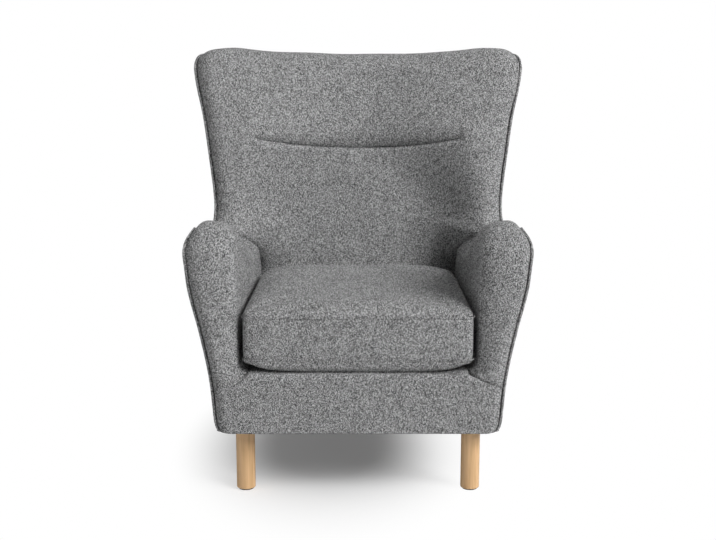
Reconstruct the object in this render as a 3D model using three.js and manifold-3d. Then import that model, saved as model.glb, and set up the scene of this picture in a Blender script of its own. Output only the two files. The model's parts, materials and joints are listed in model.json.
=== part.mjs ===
// Wingback armchair on round oak legs, in millimetres, +Z up, with the sitter facing -Y.
// Depths are measured back from the padded arm fronts, and the chair is centred at the end.
// What stands on one side is drawn at +X and mirrored to the other.
import * as THREE from 'three';
import { mergeVertices } from 'three/addons/utils/BufferGeometryUtils.js';
import Module from 'manifold-3d';

const wasm = await Module();
wasm.setup();

// Clearances, cloth and seams
const fit = 0.3; // between pieces that touch
const seamFit = 0.5; // round a welt and along a sewn seam
const cloth = 2.2; // upholstery cloth with its lining
const weltRadius = 4;
const overrun = 6; // how far a cutting shape passes what it cuts

// Side view of the shell
const underside = 167; // floor to the underside of the upholstery
const armHeight = 483; // underside to the welt on the arm's crest
const armShoulderReach = 74;
const armShoulderDrop = 60;
const valleyDrop = 65; // crest of the arm down to the valley before the wing
const wingHeight = 863; // underside to the welt on the ear
const wingReach = 60; // wing's front line at the valley, forward of the inside back's foot
const wingTopDepth = 175; // depth of the wing at its top
const wingSweep = 72; // how far the wing's foot sweeps forward onto the arm
const wingSweepHeight = 24;
const wingSpacingShare = 1.7; // power that crowds the rows of the wing's edge towards its foot
const earReach = 38;
const earDrop = 40;
const backThickness = 133; // inside back's foot to the rear edge, at the underside
const rearLean = 130;

// Plan of the outside: half widths at the rear edge, and how far the sides flare forward of it
const rearHalfFoot = 300;
const rearHalfRise = 30;
const flareTop = 248;
const flareFade = 272; // depth over which the sides flare
const flareShares = [
  [0, 0.208],
  [0.155, 0.236],
  [0.287, 0.311],
  [0.409, 0.402],
  [0.491, 0.425],
  [0.572, 0.462],
  [0.694, 0.573],
  [0.817, 0.714],
  [0.918, 0.893],
  [1, 1],
];

// Arms
const archStartAngle = 28; // degrees round the padded arch at which it meets the welt
const archRise = 40; // half height of the arch over the arm's edge
const archFadeShare = 0.25; // share of it lost between the arm's shoulder and the valley
const armInnerDrop = 32; // how far the arch's inner side falls there
const armShoulderIn = 24; // how far the arm's top leans in at its front
const armInnerHalf = 286; // half the room between the arms, at the front
const armTaper = 13; // how much each arm closes in towards the back
const armFlare = 10; // how far the inner face leans out at the crest
const armFlareDrop = 220;
const armSeamHeight = 109; // underside to the seam of the front border, at the welt
const armSeamRise = 40; // rise of that seam towards the cushion
const armSeamFade = 130;
const armPadding = 34;

// Seat
const deckHeight = 149; // underside to the top of the seat deck
const deckTuck = 14; // how far covers run down beside the deck
const borderRoll = 10;
const borderPadding = 20;
const borderFadeShare = 4; // how quickly the border's roll fades out before the arms

// Back
const cushionRearFit = 14; // seat cushion to the inside back's foot, with room for the zip
const backRakeAngle = 13;
const backRakeStart = 284; // height above the underside where the rake starts
const crestShare = 0.9; // crest of the wing as a share of the half width
const wingRoll = 30; // how far the wing's edge rolls back from its crest
const wingSink = 110; // height over which the wing's shape fades below the valley
const hollowSharpShare = 14; // how tight the corner is where the back turns into the wing
const hollowSoftShare = 2.2;
const hollowRise = 260;
const backDip = 3; // how far the middle of the top lies below the ears' welt
const crownRise = 19; // crown of the ear above its welt
const topDepth = 85;
const rearSeamDrop = 27;
const rearBow = 12;
const tuckDrop = 243; // middle of the top down to the tuck under the head roll
const tuckRise = 30; // rise of the tuck at its ends
const tuckHalf = 272;
const tuckDepth = 8;
const tuckSoft = 26; // height over which the tuck fades out below
const tuckSpread = 62;
const tuckFade = 80;
const tuckLevelShare = 0.8; // share of the half width beyond which the tuck's rise fades
const headBulge = 18;
const headBulgeHeight = 70;
const wingPadding = 34;
const topPadding = 42;
const rolledShare = 0.33; // depth of the foam at the top, as a share of its depth below
const wingPaddingStart = 215; // half width of the full padding
const wingPaddingFade = 95;
const trimFit = 2; // clearance of trimmed foam to the outside panels

// Seat cushion
const cushionFront = 2;
const cushionDepth = 516;
const cushionSideFit = 6.5; // clearance to each arm, at the front
const cushionLowerSeam = 33; // deck to the lower seam
const cushionBand = 103; // lower seam to upper seam
const cushionCrown = 19;
const cushionCorner = 20;
const cushionSwell = 4; // how far the band swells between its seams
const cushionDrawIn = 4; // how far the sides draw in between the corners
const crownInset = 130;
const bottomInset = 34;
const foamFit = 0.4;
const zipLength = 400;
const zipTapeHeight = 7;
const zipTeethHeight = 2.6;
const zipTeethProud = 1.2;
const sliderLength = 16;
const sliderHeight = 9;
const sliderThickness = 2.4;
const pullLength = 26;
const pullWidth = 5;
const pullThickness = 1.4;

// Frame of beech
const railHeight = 92;
const railThickness = 26;
const postWidth = 25;
const armPostDepth = 42;
const armPostSetback = 21; // behind the arm's front edge
const armPostInset = 13; // inside the outside panel, at its foot
const armRailRise = 426; // underside to the middle of the arm rail, at its front
const armPostLean = 64;
const railInset = 6;
const armRailHeight = 26;
const armRailFall = 80;
const armRailLap = 5.5; // how far the arm rail laps the back post
const backPostWidth = 31;
const backPostDepth = 58;
const backPostFit = 0.9;
const backPostDrop = 50; // middle of the top down to the posts' ends
const rearSpace = 6; // room for cardboard between back posts and outside back
const crossRailHeight = 42;
const crossRailDepth = 24;
const middleRailHeight = 454; // above the underside
const wingPostDrop = 55; // ear's welt down to the end of the wing post
const wingPostToe = 8; // foot of the wing post outboard of the arm rail's middle
const wingPostSetback = 58;
const wingPostInset = 29;
const blockSize = 50;
const blockHeight = 46;
const dustCloth = 1.2;

// Springs and webbing
const springCount = 4;
const springWire = 1.9;
const springBow = 12;
const springSwing = 19;
const springLoops = 8;
const springSpan = 430; // across all the springs
const webbingCount = 3;
const webbingWidth = 60;
const webbingThickness = 1.6;
const webbingRise = 165;
const webbingStart = 234;

// Legs
const legRadius = 23.4;
const legHalfSpacing = 279;
const rearLegHalfSpacing = 240;
const legBevel = 1.2;
const glideRadius = 19;
const glideHeight = 3;
const boltRadius = 4;
const boltInLeg = 46;
const boltHeadRadius = 9;
const boltHeadHeight = 3;

// How finely the curved pieces are faceted
const frontSteps = 4;
const shoulderSteps = 4;
const crestSteps = 5;
const dustSteps = 8;
const tailSteps = 2;
const wingSteps = 8;
const earSteps = 4;
const topSteps = 2;
const archSteps = 6;
const innerSteps = 3;
const panelSteps = 4;
const hollowSteps = 6;
const rollSteps = 3;
const borderSteps = 2;
const borderRollSteps = 3;
const cornerSteps = 2;
const sideSteps = 5;
const bandSteps = 4;
const crownSteps = 3;
const rearSteps = 4;
const roundSides = 24;
const boltSides = 12;
const weltSides = 6;
const wireSides = 4;
const stepsPerLoop = 6;

const radians = THREE.MathUtils.degToRad;
const mix = THREE.MathUtils.lerp;
const share = (value) => Math.min(Math.max(value, 0), 1);
const ease = (value) => share(value) ** 2 * (3 - 2 * share(value));
const steps = (count) => Array.from({ length: count + 1 }, (_, i) => i / count);
const later = (count) => steps(count).slice(1);
const side = (depth, height) => new THREE.Vector2(depth, height);
const point = (x, y, z) => new THREE.Vector3(x, y, z);

// Derived places
const archStart = radians(archStartAngle);
const backRake = Math.tan(radians(backRakeAngle));
const frontEdge = archRise * (1 - Math.sin(archStart));
const armTop = underside + armHeight;
const valleyTop = armTop - valleyDrop;
const shoulderFoot = armTop - armShoulderDrop;
const crestDepth = frontEdge + armShoulderReach;
const wingTop = underside + wingHeight;
const earStart = wingTop - earDrop;
const armSeamFoot = underside + armSeamHeight;
const deckTop = underside + deckHeight;
const coverFoot = deckTop - deckTuck;
const backTop = wingTop - backDip;
const tuckMiddle = backTop - tuckDrop;
const backDepth = cushionFront + cushionDepth + cushionRearFit;
const rearFoot = backDepth + backThickness;
const wingDepth = backDepth - wingReach;
const seamInset = cloth / 2 + weltRadius + seamFit;
const padFit = cloth + fit; // outer surface of the cloth to the padding under it

// Smooth curve through a table of [place, value] shares.
function alongShares(table, place) {
  const last = table.length - 1;
  let i = 0;
  while (i < last - 1 && place > table[i + 1][0]) {
    i += 1;
  }
  const slope = (a, b) => (table[b][1] - table[a][1]) / (table[b][0] - table[a][0]);
  const width = table[i + 1][0] - table[i][0];
  const t = share((place - table[i][0]) / width);
  const leave = width * slope(Math.max(i - 1, 0), i + 1);
  const arrive = width * slope(i, Math.min(i + 2, last));
  const bend = 2 * t ** 3 - 3 * t ** 2 + 1;
  return table[i][1] * bend + table[i + 1][1] * (1 - bend)
    + leave * (t ** 3 - 2 * t ** 2 + t) + arrive * (t ** 3 - t ** 2);
}

// Outside of the shell: half width at a depth and height
const rise = (z) => (z - underside) / wingHeight;
const rearEdge = (z) => rearFoot + rearLean * rise(z);
const rearHalf = (z) => rearHalfFoot + rearHalfRise * rise(z);
const flare = (z) => flareTop * alongShares(flareShares, rise(z));
const sideX = (y, z) => rearHalf(z) + flare(z) * (1 - Math.exp((y - rearEdge(z)) / flareFade))
  - armShoulderIn * share((z - shoulderFoot) / armShoulderDrop) ** 2 * (1 - armLower(y));
const wingRake = (rearEdge(wingTop) - wingTopDepth - wingDepth) / (wingTop - valleyTop);
const wingFront = (z) => wingDepth + (z - valleyTop) * wingRake
  - wingSweep * Math.exp((valleyTop - z) / wingSweepHeight);

// How far along the arm a depth is, from 0 at its shoulder to 1 at the valley
const armLower = (y) => ease((y - crestDepth) / (wingFront(valleyTop) - crestDepth));

// Inner face of an arm
const innerX = (y, z) => armInnerHalf - armTaper * (y / cushionDepth)
  + armFlare * Math.max(0, (z - armTop + armFlareDrop) / armFlareDrop) ** 2;

// The arms end against the back posts.
const postFront = (z) => rearEdge(z) - rearSpace - backPostDepth;
const armEnd = postFront(coverFoot) - fit;

// Edge of the arm in side view, from a height on its front edge to the valley
function armEdge(from) {
  const valleyDepth = wingFront(valleyTop);
  const shoulder = (t) => {
    const angle = t * Math.PI / 2;
    return side(
      frontEdge + armShoulderReach * (1 - Math.cos(angle)),
      shoulderFoot + armShoulderDrop * Math.sin(angle),
    );
  };
  return [
    ...steps(frontSteps).map((t) => side(frontEdge, mix(from, shoulderFoot, t))),
    ...later(shoulderSteps).map(shoulder),
    ...later(crestSteps).map((t) => side(
      mix(crestDepth, valleyDepth, t),
      armTop - valleyDrop * ease(t),
    )),
  ];
}

// The rest of the edge: up the wing, round the ear and back along its top
const earPoint = (angle) => {
  const z = earStart + earDrop * Math.sin(angle);
  return side(wingFront(z) + earReach * (1 - Math.cos(angle)), z);
};
const earEnd = earPoint(Math.PI / 2);
function wingEdge() {
  return [
    ...later(wingSteps).map((t) => {
      const z = mix(valleyTop, earStart, t ** wingSpacingShare);
      return side(wingFront(z), z);
    }),
    ...later(earSteps).map((t) => earPoint(t * Math.PI / 2)),
    ...later(topSteps).map((t) => side(mix(earEnd.x, rearEdge(wingTop), t), wingTop)),
  ];
}

// Outward direction of an edge in side view, square to its run
function outward(line, i) {
  const before = line[Math.max(i - 1, 0)];
  const after = line[Math.min(i + 1, line.length - 1)];
  const run = after.clone().sub(before).normalize();
  return side(-run.y, run.x);
}

// Share of a line's length that lies before each of its points
function lengthShares(line) {
  const lengths = [0];
  for (let i = 1; i < line.length; i += 1) {
    lengths.push(lengths[i - 1] + line[i].distanceTo(line[i - 1]));
  }
  return lengths.map((length) => length / lengths[line.length - 1]);
}

function pointAt(line, place) {
  const shares = lengthShares(line);
  let i = 0;
  while (i < line.length - 2 && place > shares[i + 1]) {
    i += 1;
  }
  return line[i].clone().lerp(line[i + 1], (place - shares[i]) / (shares[i + 1] - shares[i]));
}

// Welds a geometry, drops its collapsed triangles and turns its faces outward.
function closed(geometry) {
  const bare = new THREE.BufferGeometry();
  bare.setAttribute('position', geometry.attributes.position);
  bare.setIndex(geometry.index);
  const welded = mergeVertices(bare);
  const index = welded.index.array;
  const kept = [];
  for (let i = 0; i < index.length; i += 3) {
    const [a, b, c] = index.slice(i, i + 3);
    if (a !== b && b !== c && c !== a) {
      kept.push(a, b, c);
    }
  }
  const corner = (i) => point().fromBufferAttribute(welded.attributes.position, i);
  let volume = 0;
  for (let i = 0; i < kept.length; i += 3) {
    volume += corner(kept[i]).dot(corner(kept[i + 1]).cross(corner(kept[i + 2])));
  }
  welded.setIndex(volume < 0 ? kept.reverse() : kept);
  return welded;
}

// Solid between two grids of points that face each other, its facets mirrored about the middle
function solidBetween(front, back) {
  const rows = front.length;
  const columns = front[0].length;
  const triangles = [];
  const at = (face, i, j) => (face * rows + i) * columns + j;
  const quad = (a, b, c, d) => triangles.push(a, b, c, a, c, d);
  const otherWay = (a, b, c, d) => quad(b, c, d, a);
  for (let i = 0; i < rows - 1; i += 1) {
    for (let j = 0; j < columns - 1; j += 1) {
      const facet = j < (columns - 1) / 2 ? quad : otherWay;
      facet(at(0, i, j), at(0, i, j + 1), at(0, i + 1, j + 1), at(0, i + 1, j));
      facet(at(1, i, j), at(1, i + 1, j), at(1, i + 1, j + 1), at(1, i, j + 1));
    }
    quad(at(0, i, 0), at(0, i + 1, 0), at(1, i + 1, 0), at(1, i, 0));
    const j = columns - 1;
    quad(at(0, i, j), at(1, i, j), at(1, i + 1, j), at(0, i + 1, j));
  }
  for (let j = 0; j < columns - 1; j += 1) {
    const i = rows - 1;
    quad(at(0, 0, j), at(1, 0, j), at(1, 0, j + 1), at(0, 0, j + 1));
    quad(at(0, i, j), at(0, i, j + 1), at(1, i, j + 1), at(1, i, j));
  }
  const geometry = new THREE.BufferGeometry();
  geometry.setFromPoints([...front.flat(), ...back.flat()]);
  geometry.setIndex(triangles);
  return closed(geometry);
}

// Solid through closed rings of equal count, capped at both ends
function solidThrough(rings) {
  const count = rings[0].length;
  const triangles = [];
  const at = (i, j) => i * count + j % count;
  for (let i = 0; i < rings.length - 1; i += 1) {
    for (let j = 0; j < count; j += 1) {
      triangles.push(at(i, j), at(i, j + 1), at(i + 1, j + 1));
      triangles.push(at(i, j), at(i + 1, j + 1), at(i + 1, j));
    }
  }
  const middle = (ring) => ring.reduce((sum, p) => sum.add(p), point()).divideScalar(count);
  const lowCap = rings.length * count;
  const highCap = lowCap + 1;
  for (let j = 0; j < count; j += 1) {
    triangles.push(lowCap, at(0, j + 1), at(0, j));
    triangles.push(highCap, at(rings.length - 1, j), at(rings.length - 1, j + 1));
  }
  const geometry = new THREE.BufferGeometry();
  geometry.setFromPoints([...rings.flat(), middle(rings[0]), middle(rings[rings.length - 1])]);
  geometry.setIndex(triangles);
  return closed(geometry);
}

// Offsets a grid of points along its own normals, towards the side that faces inward.
function inset(grid, distance) {
  const rows = grid.length - 1;
  const columns = grid[0].length - 1;
  return grid.map((row, i) => row.map((spot, j) => {
    const along = grid[Math.min(i + 1, rows)][j].clone().sub(grid[Math.max(i - 1, 0)][j]);
    const across = row[Math.min(j + 1, columns)].clone().sub(row[Math.max(j - 1, 0)]);
    return spot.clone().addScaledVector(along.cross(across).normalize(), distance);
  }));
}

function toManifold(geometry) {
  return new wasm.Manifold(new wasm.Mesh({
    numProp: 3,
    vertProperties: Float32Array.from(geometry.attributes.position.array),
    triVerts: Uint32Array.from(geometry.index.array),
  }));
}

function fromManifold(solid) {
  const mesh = solid.getMesh();
  const result = new THREE.BufferGeometry();
  result.setAttribute('position', new THREE.BufferAttribute(mesh.vertProperties, mesh.numProp));
  result.setIndex(new THREE.BufferAttribute(mesh.triVerts, 1));
  return result;
}

const cut = (geometry, ...tools) => fromManifold(
  tools.reduce((rest, tool) => rest.subtract(toManifold(tool)), toManifold(geometry)),
);
const join = (a, b) => fromManifold(toManifold(a).add(toManifold(b)));

function mirrored(geometry) {
  const copy = geometry.clone();
  copy.scale(-1, 1, 1);
  copy.setIndex([...copy.index.array].reverse());
  return copy;
}

// Materials
const finish = (color, roughness, metalness = 0) => new THREE.MeshStandardMaterial({
  color,
  roughness,
  metalness,
});
const upholstery = finish(0x6e6f71, 0.92);
const padding = finish(0xe3ddcb, 0.95);
const beech = finish(0xc9a87c, 0.7);
const oak = finish(0xd2a873, 0.5);
const springSteel = finish(0x6f7277, 0.4, 0.9);
const plated = finish(0xa9acb0, 0.35, 0.95);
const jute = finish(0x9c8a68, 0.95);
const lining = finish(0x232426, 0.95);
const nylon = finish(0x55565a, 0.55);
const plastic = finish(0x2b2c2e, 0.5);

const chair = new THREE.Group();
const base = new THREE.Group();
const cushion = new THREE.Group();
const slider = new THREE.Group();
cushion.add(slider);
chair.add(base, cushion);

function add(name, geometry, material, group = base) {
  const mesh = new THREE.Mesh(geometry, material);
  mesh.name = name;
  geometry.computeVertexNormals();
  group.add(mesh);
  return mesh;
}

function addPair(name, geometry, material) {
  add(`${name}_right`, geometry, material);
  add(`${name}_left`, mirrored(geometry), material);
}

// Arms: a padded arch runs round the arm's edge, and the inner face falls from it to the deck.
const armLine = [
  ...armEdge(armSeamFoot),
  ...later(tailSteps).map((t) => side(mix(wingFront(valleyTop), armEnd, t), valleyTop)),
];
const armShares = lengthShares(armLine);

function archAt(line, i) {
  const out = outward(line, i);
  const axis = line[i].clone().addScaledVector(out, -archRise * Math.sin(archStart));
  const lower = armLower(line[i].x);
  const drop = armInnerDrop * lower;
  const bow = archRise * (1 - archFadeShare * lower);
  const inner = innerX(axis.x, axis.y - drop);
  const outer = sideX(line[i].x, line[i].y) - seamInset;
  const halfWidth = (outer - inner) / (1 + Math.cos(archStart));
  return { out, axis, drop, bow, halfWidth, axisX: inner + halfWidth };
}

function armSurface(depthIn) {
  return armLine.map((edge, i) => {
    const { out, axis, drop, bow, halfWidth, axisX } = archAt(armLine, i);
    const seam = armSeamRise * ease(1 - (edge.y - armSeamFoot) / armSeamFade);
    const lift = i <= frontSteps ? seam : 0;
    const arch = steps(archSteps).map((t) => {
      const angle = mix(archStart, Math.PI, t);
      const spot = axis.clone().addScaledVector(out, (bow - depthIn) * Math.sin(angle));
      const fall = drop * ease((angle - Math.PI / 2) / (Math.PI / 2));
      const z = spot.y + lift * t - fall;
      return point(axisX + (halfWidth - depthIn) * Math.cos(angle), spot.x, z);
    });
    const from = side(axis.x, axis.y + lift - drop);
    const foot = side(mix(armLineStart.x, armEnd, armShares[i]), coverFoot);
    const face = later(innerSteps).map((t) => {
      const spot = from.clone().lerp(foot, t);
      return point(innerX(spot.x, spot.y) + depthIn, spot.x, spot.y);
    });
    return [...arch, ...face];
  });
}
const armLineStart = archAt(armLine, 0).axis;

// Whole space of an arm out to its side panel, grown by a clearance, for cutting the back
function armSpace(clearance) {
  const inner = armSurface(-clearance);
  const outer = inner.map((row, i) => row.map((spot, j) => {
    const onArch = j <= archSteps;
    const y = onArch ? armLine[i].x : spot.y;
    const z = onArch ? armLine[i].y : spot.z;
    return point(sideX(y, z) - cloth / 2, y, z);
  }));
  return solidBetween(inner, outer);
}

// Outside panels, from the edge of arm and wing to the base and the rear edge
const shellEdge = [...armEdge(underside), ...wingEdge()];
const shellShares = lengthShares(shellEdge);
const baseEdge = [
  side(frontEdge, underside),
  side(rearFoot, underside),
  side(rearEdge(wingTop), wingTop),
];
const cornerShare = lengthShares(baseEdge)[1];
const cornerAt = shellShares.findIndex((place) => place > cornerShare);
const shareAtCorner = shellShares[cornerAt];
const footShares = shellShares.map((place, i) => (i < cornerAt
  ? place * cornerShare / shareAtCorner
  : 1 - (1 - place) * (1 - cornerShare) / (1 - shareAtCorner)));
const panelPlan = shellEdge.map((edge, i) => {
  const foot = pointAt(baseEdge, footShares[i]);
  return steps(panelSteps).map((t) => edge.clone().lerp(foot, t));
});
const panelFace = (depthIn) => panelPlan.map((row) => row.map((spot) => point(
  sideX(spot.x, spot.y) - depthIn,
  spot.x,
  spot.y,
)));
addPair('outside_panel', solidBetween(panelFace(0), panelFace(cloth)), upholstery);

// Welts sewn in along the whole edge
const weltRings = shellEdge.map((edge, i) => {
  const out = outward(shellEdge, i);
  const spot = edge.clone().addScaledVector(out, weltRadius + seamFit);
  const x = sideX(edge.x, edge.y) - cloth / 2;
  return steps(weltSides).slice(0, -1).map((t) => {
    const reach = weltRadius * Math.cos(2 * Math.PI * t);
    const across = weltRadius * Math.sin(2 * Math.PI * t);
    return point(x + across, spot.x + out.x * reach, spot.y + out.y * reach);
  });
});
addPair('welt', solidThrough(weltRings), upholstery);

// Inside back: each row runs from the middle through the wing's crest to its welt.
const backLine = (z) => {
  const above = z - underside - backRakeStart;
  return backDepth + backRake * (above > 0 ? above : 0);
};
const edgeLine = (z) => {
  const low = mix(wingFront(valleyTop), backLine(z) + wingRoll, ease((valleyTop - z) / wingSink));
  return z < valleyTop ? low : wingFront(z);
};
const hollowPower = (z) => mix(hollowSharpShare, hollowSoftShare, ease((z - valleyTop) / hollowRise));

function faceRow(z) {
  const edge = side(edgeLine(z), z);
  return { centre: side(backLine(z), z), crest: side(edge.x - wingRoll, z), edge };
}
function topRow(angle) {
  const edge = earPoint(angle);
  const up = Math.sin(angle);
  return {
    centre: side(backLine(earStart) + topDepth * (1 - Math.cos(angle)), mix(earStart, backTop, up)),
    crest: side(edge.x - wingRoll, mix(earStart, wingTop + crownRise, up)),
    edge,
  };
}
function rearRow(angle) {
  const from = topRow(Math.PI / 2);
  const along = Math.sin(angle);
  const down = 1 - Math.cos(angle);
  const seam = backTop - rearSeamDrop;
  const crestSeam = mix(seam, wingTop, crestShare ** 2);
  return {
    centre: side(mix(from.centre.x, rearEdge(seam) + rearBow, along), mix(backTop, seam, down)),
    crest: side(
      mix(from.crest.x, rearEdge(crestSeam) + rearBow * (1 - crestShare ** 2), along),
      mix(from.crest.y, crestSeam, down),
    ),
    edge: side(mix(from.edge.x, rearEdge(wingTop), along), wingTop),
  };
}

// Tuck under the head roll, and the roll's own bulge
const tuckReach = (x) => 1 - ease((Math.abs(x) - tuckHalf + tuckFade) / tuckFade);
function relief(x, z, rolled) {
  const tuck = tuckMiddle + tuckRise * Math.min(1, (x / tuckHalf) ** 2);
  const over = share((z - tuck) / headBulgeHeight);
  const below = Math.exp(Math.min(0, (z - tuck) / tuckSoft));
  const bulge = (headBulge + tuckDepth) * Math.sqrt(1 - (1 - over) ** 2);
  const roll = (z < tuck ? tuckDepth * below : tuckDepth - bulge) * tuckReach(x);
  return roll * (1 - rolled);
}

function acrossRow(row, rolled) {
  const power = hollowPower(row.centre.y);
  const edgeX = sideX(row.edge.x, row.edge.y) - seamInset;
  const crestX = edgeX * crestShare;
  const hollow = steps(hollowSteps).map((t) => {
    const turn = t ** power * (1 + power - power * t);
    const x = crestX * t;
    const z = mix(row.centre.y, row.crest.y, t ** 2);
    const near = Math.exp(-(((z - tuckMiddle) / tuckSpread) ** 2));
    const level = 1 - ease((t - tuckLevelShare) / (1 - tuckLevelShare));
    const lift = tuckRise * Math.min(1, (x / tuckHalf) ** 2) * near * level;
    const y = mix(row.centre.x, row.crest.x, turn);
    return point(x, y + relief(x, z + lift, rolled), z + lift);
  });
  const roll = later(rollSteps).map((t) => {
    const angle = mix(Math.PI / 2, archStart, t);
    const out = Math.cos(angle) / Math.cos(archStart);
    const back = (1 - Math.sin(angle)) / (1 - Math.sin(archStart));
    const spot = row.crest.clone().lerp(row.edge, back);
    return point(mix(crestX, edgeX, out), spot.x, spot.y);
  });
  const oneHalf = [...hollow, ...roll];
  const otherHalf = oneHalf.slice(1).reverse().map((spot) => point(-spot.x, spot.y, spot.z));
  return [...otherHalf, ...oneHalf];
}

const faceShares = [0, 0.2, 0.28, 0.36, 0.42, 0.46, 0.51, 0.6];
const headShares = [0.5, 1];
const tuckRows = [-34, -10, 0, 10, 34];
const faceHeights = [
  ...faceShares.map((s) => mix(coverFoot, earStart, s)),
  ...tuckRows.map((offset) => tuckMiddle + offset),
  ...headShares.map((s) => mix(tuckMiddle + tuckRows[tuckRows.length - 1], earStart, s)),
];
const quarter = (count) => later(count).map((t) => t * Math.PI / 2);
const backRows = [
  ...faceHeights.map((z) => ({ row: faceRow(z), rolled: 0 })),
  ...quarter(earSteps).map((a) => ({ row: topRow(a), rolled: 1 - Math.cos(a) })),
  ...quarter(earSteps).map((a) => ({ row: rearRow(a), rolled: 1 })),
];
const backSurface = backRows.map(({ row, rolled }) => acrossRow(row, rolled));

// Back foam: down to the webbing behind the sitter and over the top, thin out in the wings
const webbingPlane = (z) => postFront(z) - fit - webbingThickness;
const foamRows = faceHeights.length + earSteps + 1;
const foamFace = inset(backSurface, padFit).slice(0, foamRows);
const foamBack = foamFace.map((row, i) => {
  const { rolled, row: { centre } } = backRows[i];
  const deep = webbingPlane(Math.min(centre.y, earStart)) - fit - padFit - backLine(centre.y);
  return row.map((spot) => {
    const winged = ease((Math.abs(spot.x) - wingPaddingStart) / wingPaddingFade);
    const thick = mix(deep, wingPadding, winged);
    const most = rolled ? Infinity : webbingPlane(spot.z) - fit;
    const y = Math.min(spot.y + thick * mix(1, rolledShare, rolled), most);
    const z = spot.z - mix(topPadding, wingPadding, winged) * rolled;
    const widest = sideX(y, z) - cloth - trimFit;
    return point(THREE.MathUtils.clamp(spot.x, -widest, widest), y, z);
  });
});
const rightArm = armSpace(fit);
const leftArm = mirrored(rightArm);
const backLining = inset(backSurface, cloth);
const backSeam = backSurface[backSurface.length - 1];
for (const [j, spot] of backLining[backLining.length - 1].entries()) {
  spot.z = Math.max(spot.z, backSeam[j].z);
}
const backCover = solidBetween(backSurface, backLining);
const backFoam = solidBetween(foamFace, foamBack);
add('inside_back_cover', cut(backCover, rightArm, leftArm), upholstery);
add('back_foam', cut(backFoam, rightArm, leftArm), padding);

// Outside back, between the rear edges of the outside panels
const seamShares = backSeam.map((spot) => spot.x / (rearHalf(wingTop) - seamInset));
const outsideBack = (depthIn) => steps(panelSteps).map((t) => backSeam.map((spot, j) => {
  const z = mix(spot.z - seamFit - fit, underside, t);
  const x = seamShares[j] * (rearHalf(z) - cloth - seamFit);
  const y = rearEdge(z) + rearBow * (1 - seamShares[j] ** 2) - depthIn;
  return point(x, y, z);
}));
add('outside_back_panel', solidBetween(outsideBack(0), outsideBack(cloth)), upholstery);

// Front border: flat across the front, rolled back over the deck's edge between the arms, and
// turned back to the welts at its ends
const frameFoot = underside + dustCloth + fit;
const deckStart = padFit + borderPadding + fit;
function borderSurface(depthIn, back, low, from) {
  const line = [side(frontEdge, armSeamFoot), side(frontEdge, armTop)];
  const { axisX, halfWidth } = archAt(line, 0);
  const ends = steps(archSteps).map((share) => {
    const angle = mix(from, Math.PI, share);
    const t = (angle - archStart) / (Math.PI - archStart);
    const bend = Math.sin(Math.min(angle, Math.PI / 2));
    return {
      x: axisX + (halfWidth - depthIn) * Math.cos(angle),
      y: archRise - (archRise - depthIn) * bend + back,
      top: armSeamFoot + armSeamRise * t - seamFit,
      rolled: t ** borderFadeShare,
    };
  });
  const columns = [...ends, ...[...ends].reverse().map((end) => ({ ...end, x: -end.x }))];
  return columns.map(({ x, y, top, rolled }) => {
    const lean = (z) => x * sideX(frontEdge, z) / sideX(frontEdge, top);
    const shoulder = top - borderRoll;
    const reach = borderRoll - depthIn;
    const rows = steps(borderSteps).map((t) => mix(low, shoulder, t));
    const roll = later(borderRollSteps).map((t) => {
      const angle = t * Math.PI / 2;
      const z = shoulder + reach * Math.sin(angle);
      return point(lean(z), y + reach * (1 - Math.cos(angle)) * rolled, z);
    });
    const last = roll[roll.length - 1].clone();
    last.y = mix(y, deckStart - fit, rolled);
    return [...rows.map((z) => point(lean(z), y, z)), ...roll, last];
  });
}
const borderFace = borderSurface(0, 0, underside, archStart);
const borderLining = borderSurface(cloth, 0, underside, archStart);
add('front_border_cover', solidBetween(borderFace, borderLining), upholstery);
const borderPadStart = (archStart + Math.PI) / 2;
const borderPad = [0, borderPadding].map((back) => borderSurface(
  padFit,
  back,
  frameFoot,
  borderPadStart,
).map((column) => column.slice(0, borderSteps + 1)));
add('front_border_foam', solidBetween(...borderPad), padding);

// Timbers: upright ones are cut level at both ends, and rails square to their run
const rectangle = (centre, across, along) => [[-1, -1], [1, -1], [1, 1], [-1, 1]].map(
  ([a, b]) => centre.clone().addScaledVector(across, a / 2).addScaledVector(along, b / 2),
);
const upright = (foot, head, width, depth) => solidThrough([foot, head].map(
  (end) => rectangle(end, point(width, 0, 0), point(0, depth, 0)),
));
const runner = (front, rear, width, height) => solidThrough([front, rear].map(
  (end) => rectangle(end, point(width, 0, 0), point(0, 0, height)),
));
const crossRail = (half, y, z, depth, height) => solidThrough([-half, half].map(
  (x) => rectangle(point(x, y, z), point(0, depth, 0), point(0, 0, height)),
));
const onLine = (from, to, t) => from.clone().lerp(to, t);

const railTop = frameFoot + railHeight;
const railMiddle = frameFoot + railHeight / 2;
const frontRailEnd = deckStart + railThickness;

const backPostX = (z) => rearHalf(z) - cloth - backPostFit - backPostWidth / 2;
const backPostAt = (z) => point(backPostX(z), postFront(z) + backPostDepth / 2, z);
const backPostHead = backTop - backPostDrop;
addPair(
  'back_post',
  upright(backPostAt(frameFoot), backPostAt(backPostHead), backPostWidth, backPostDepth),
  beech,
);

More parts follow.
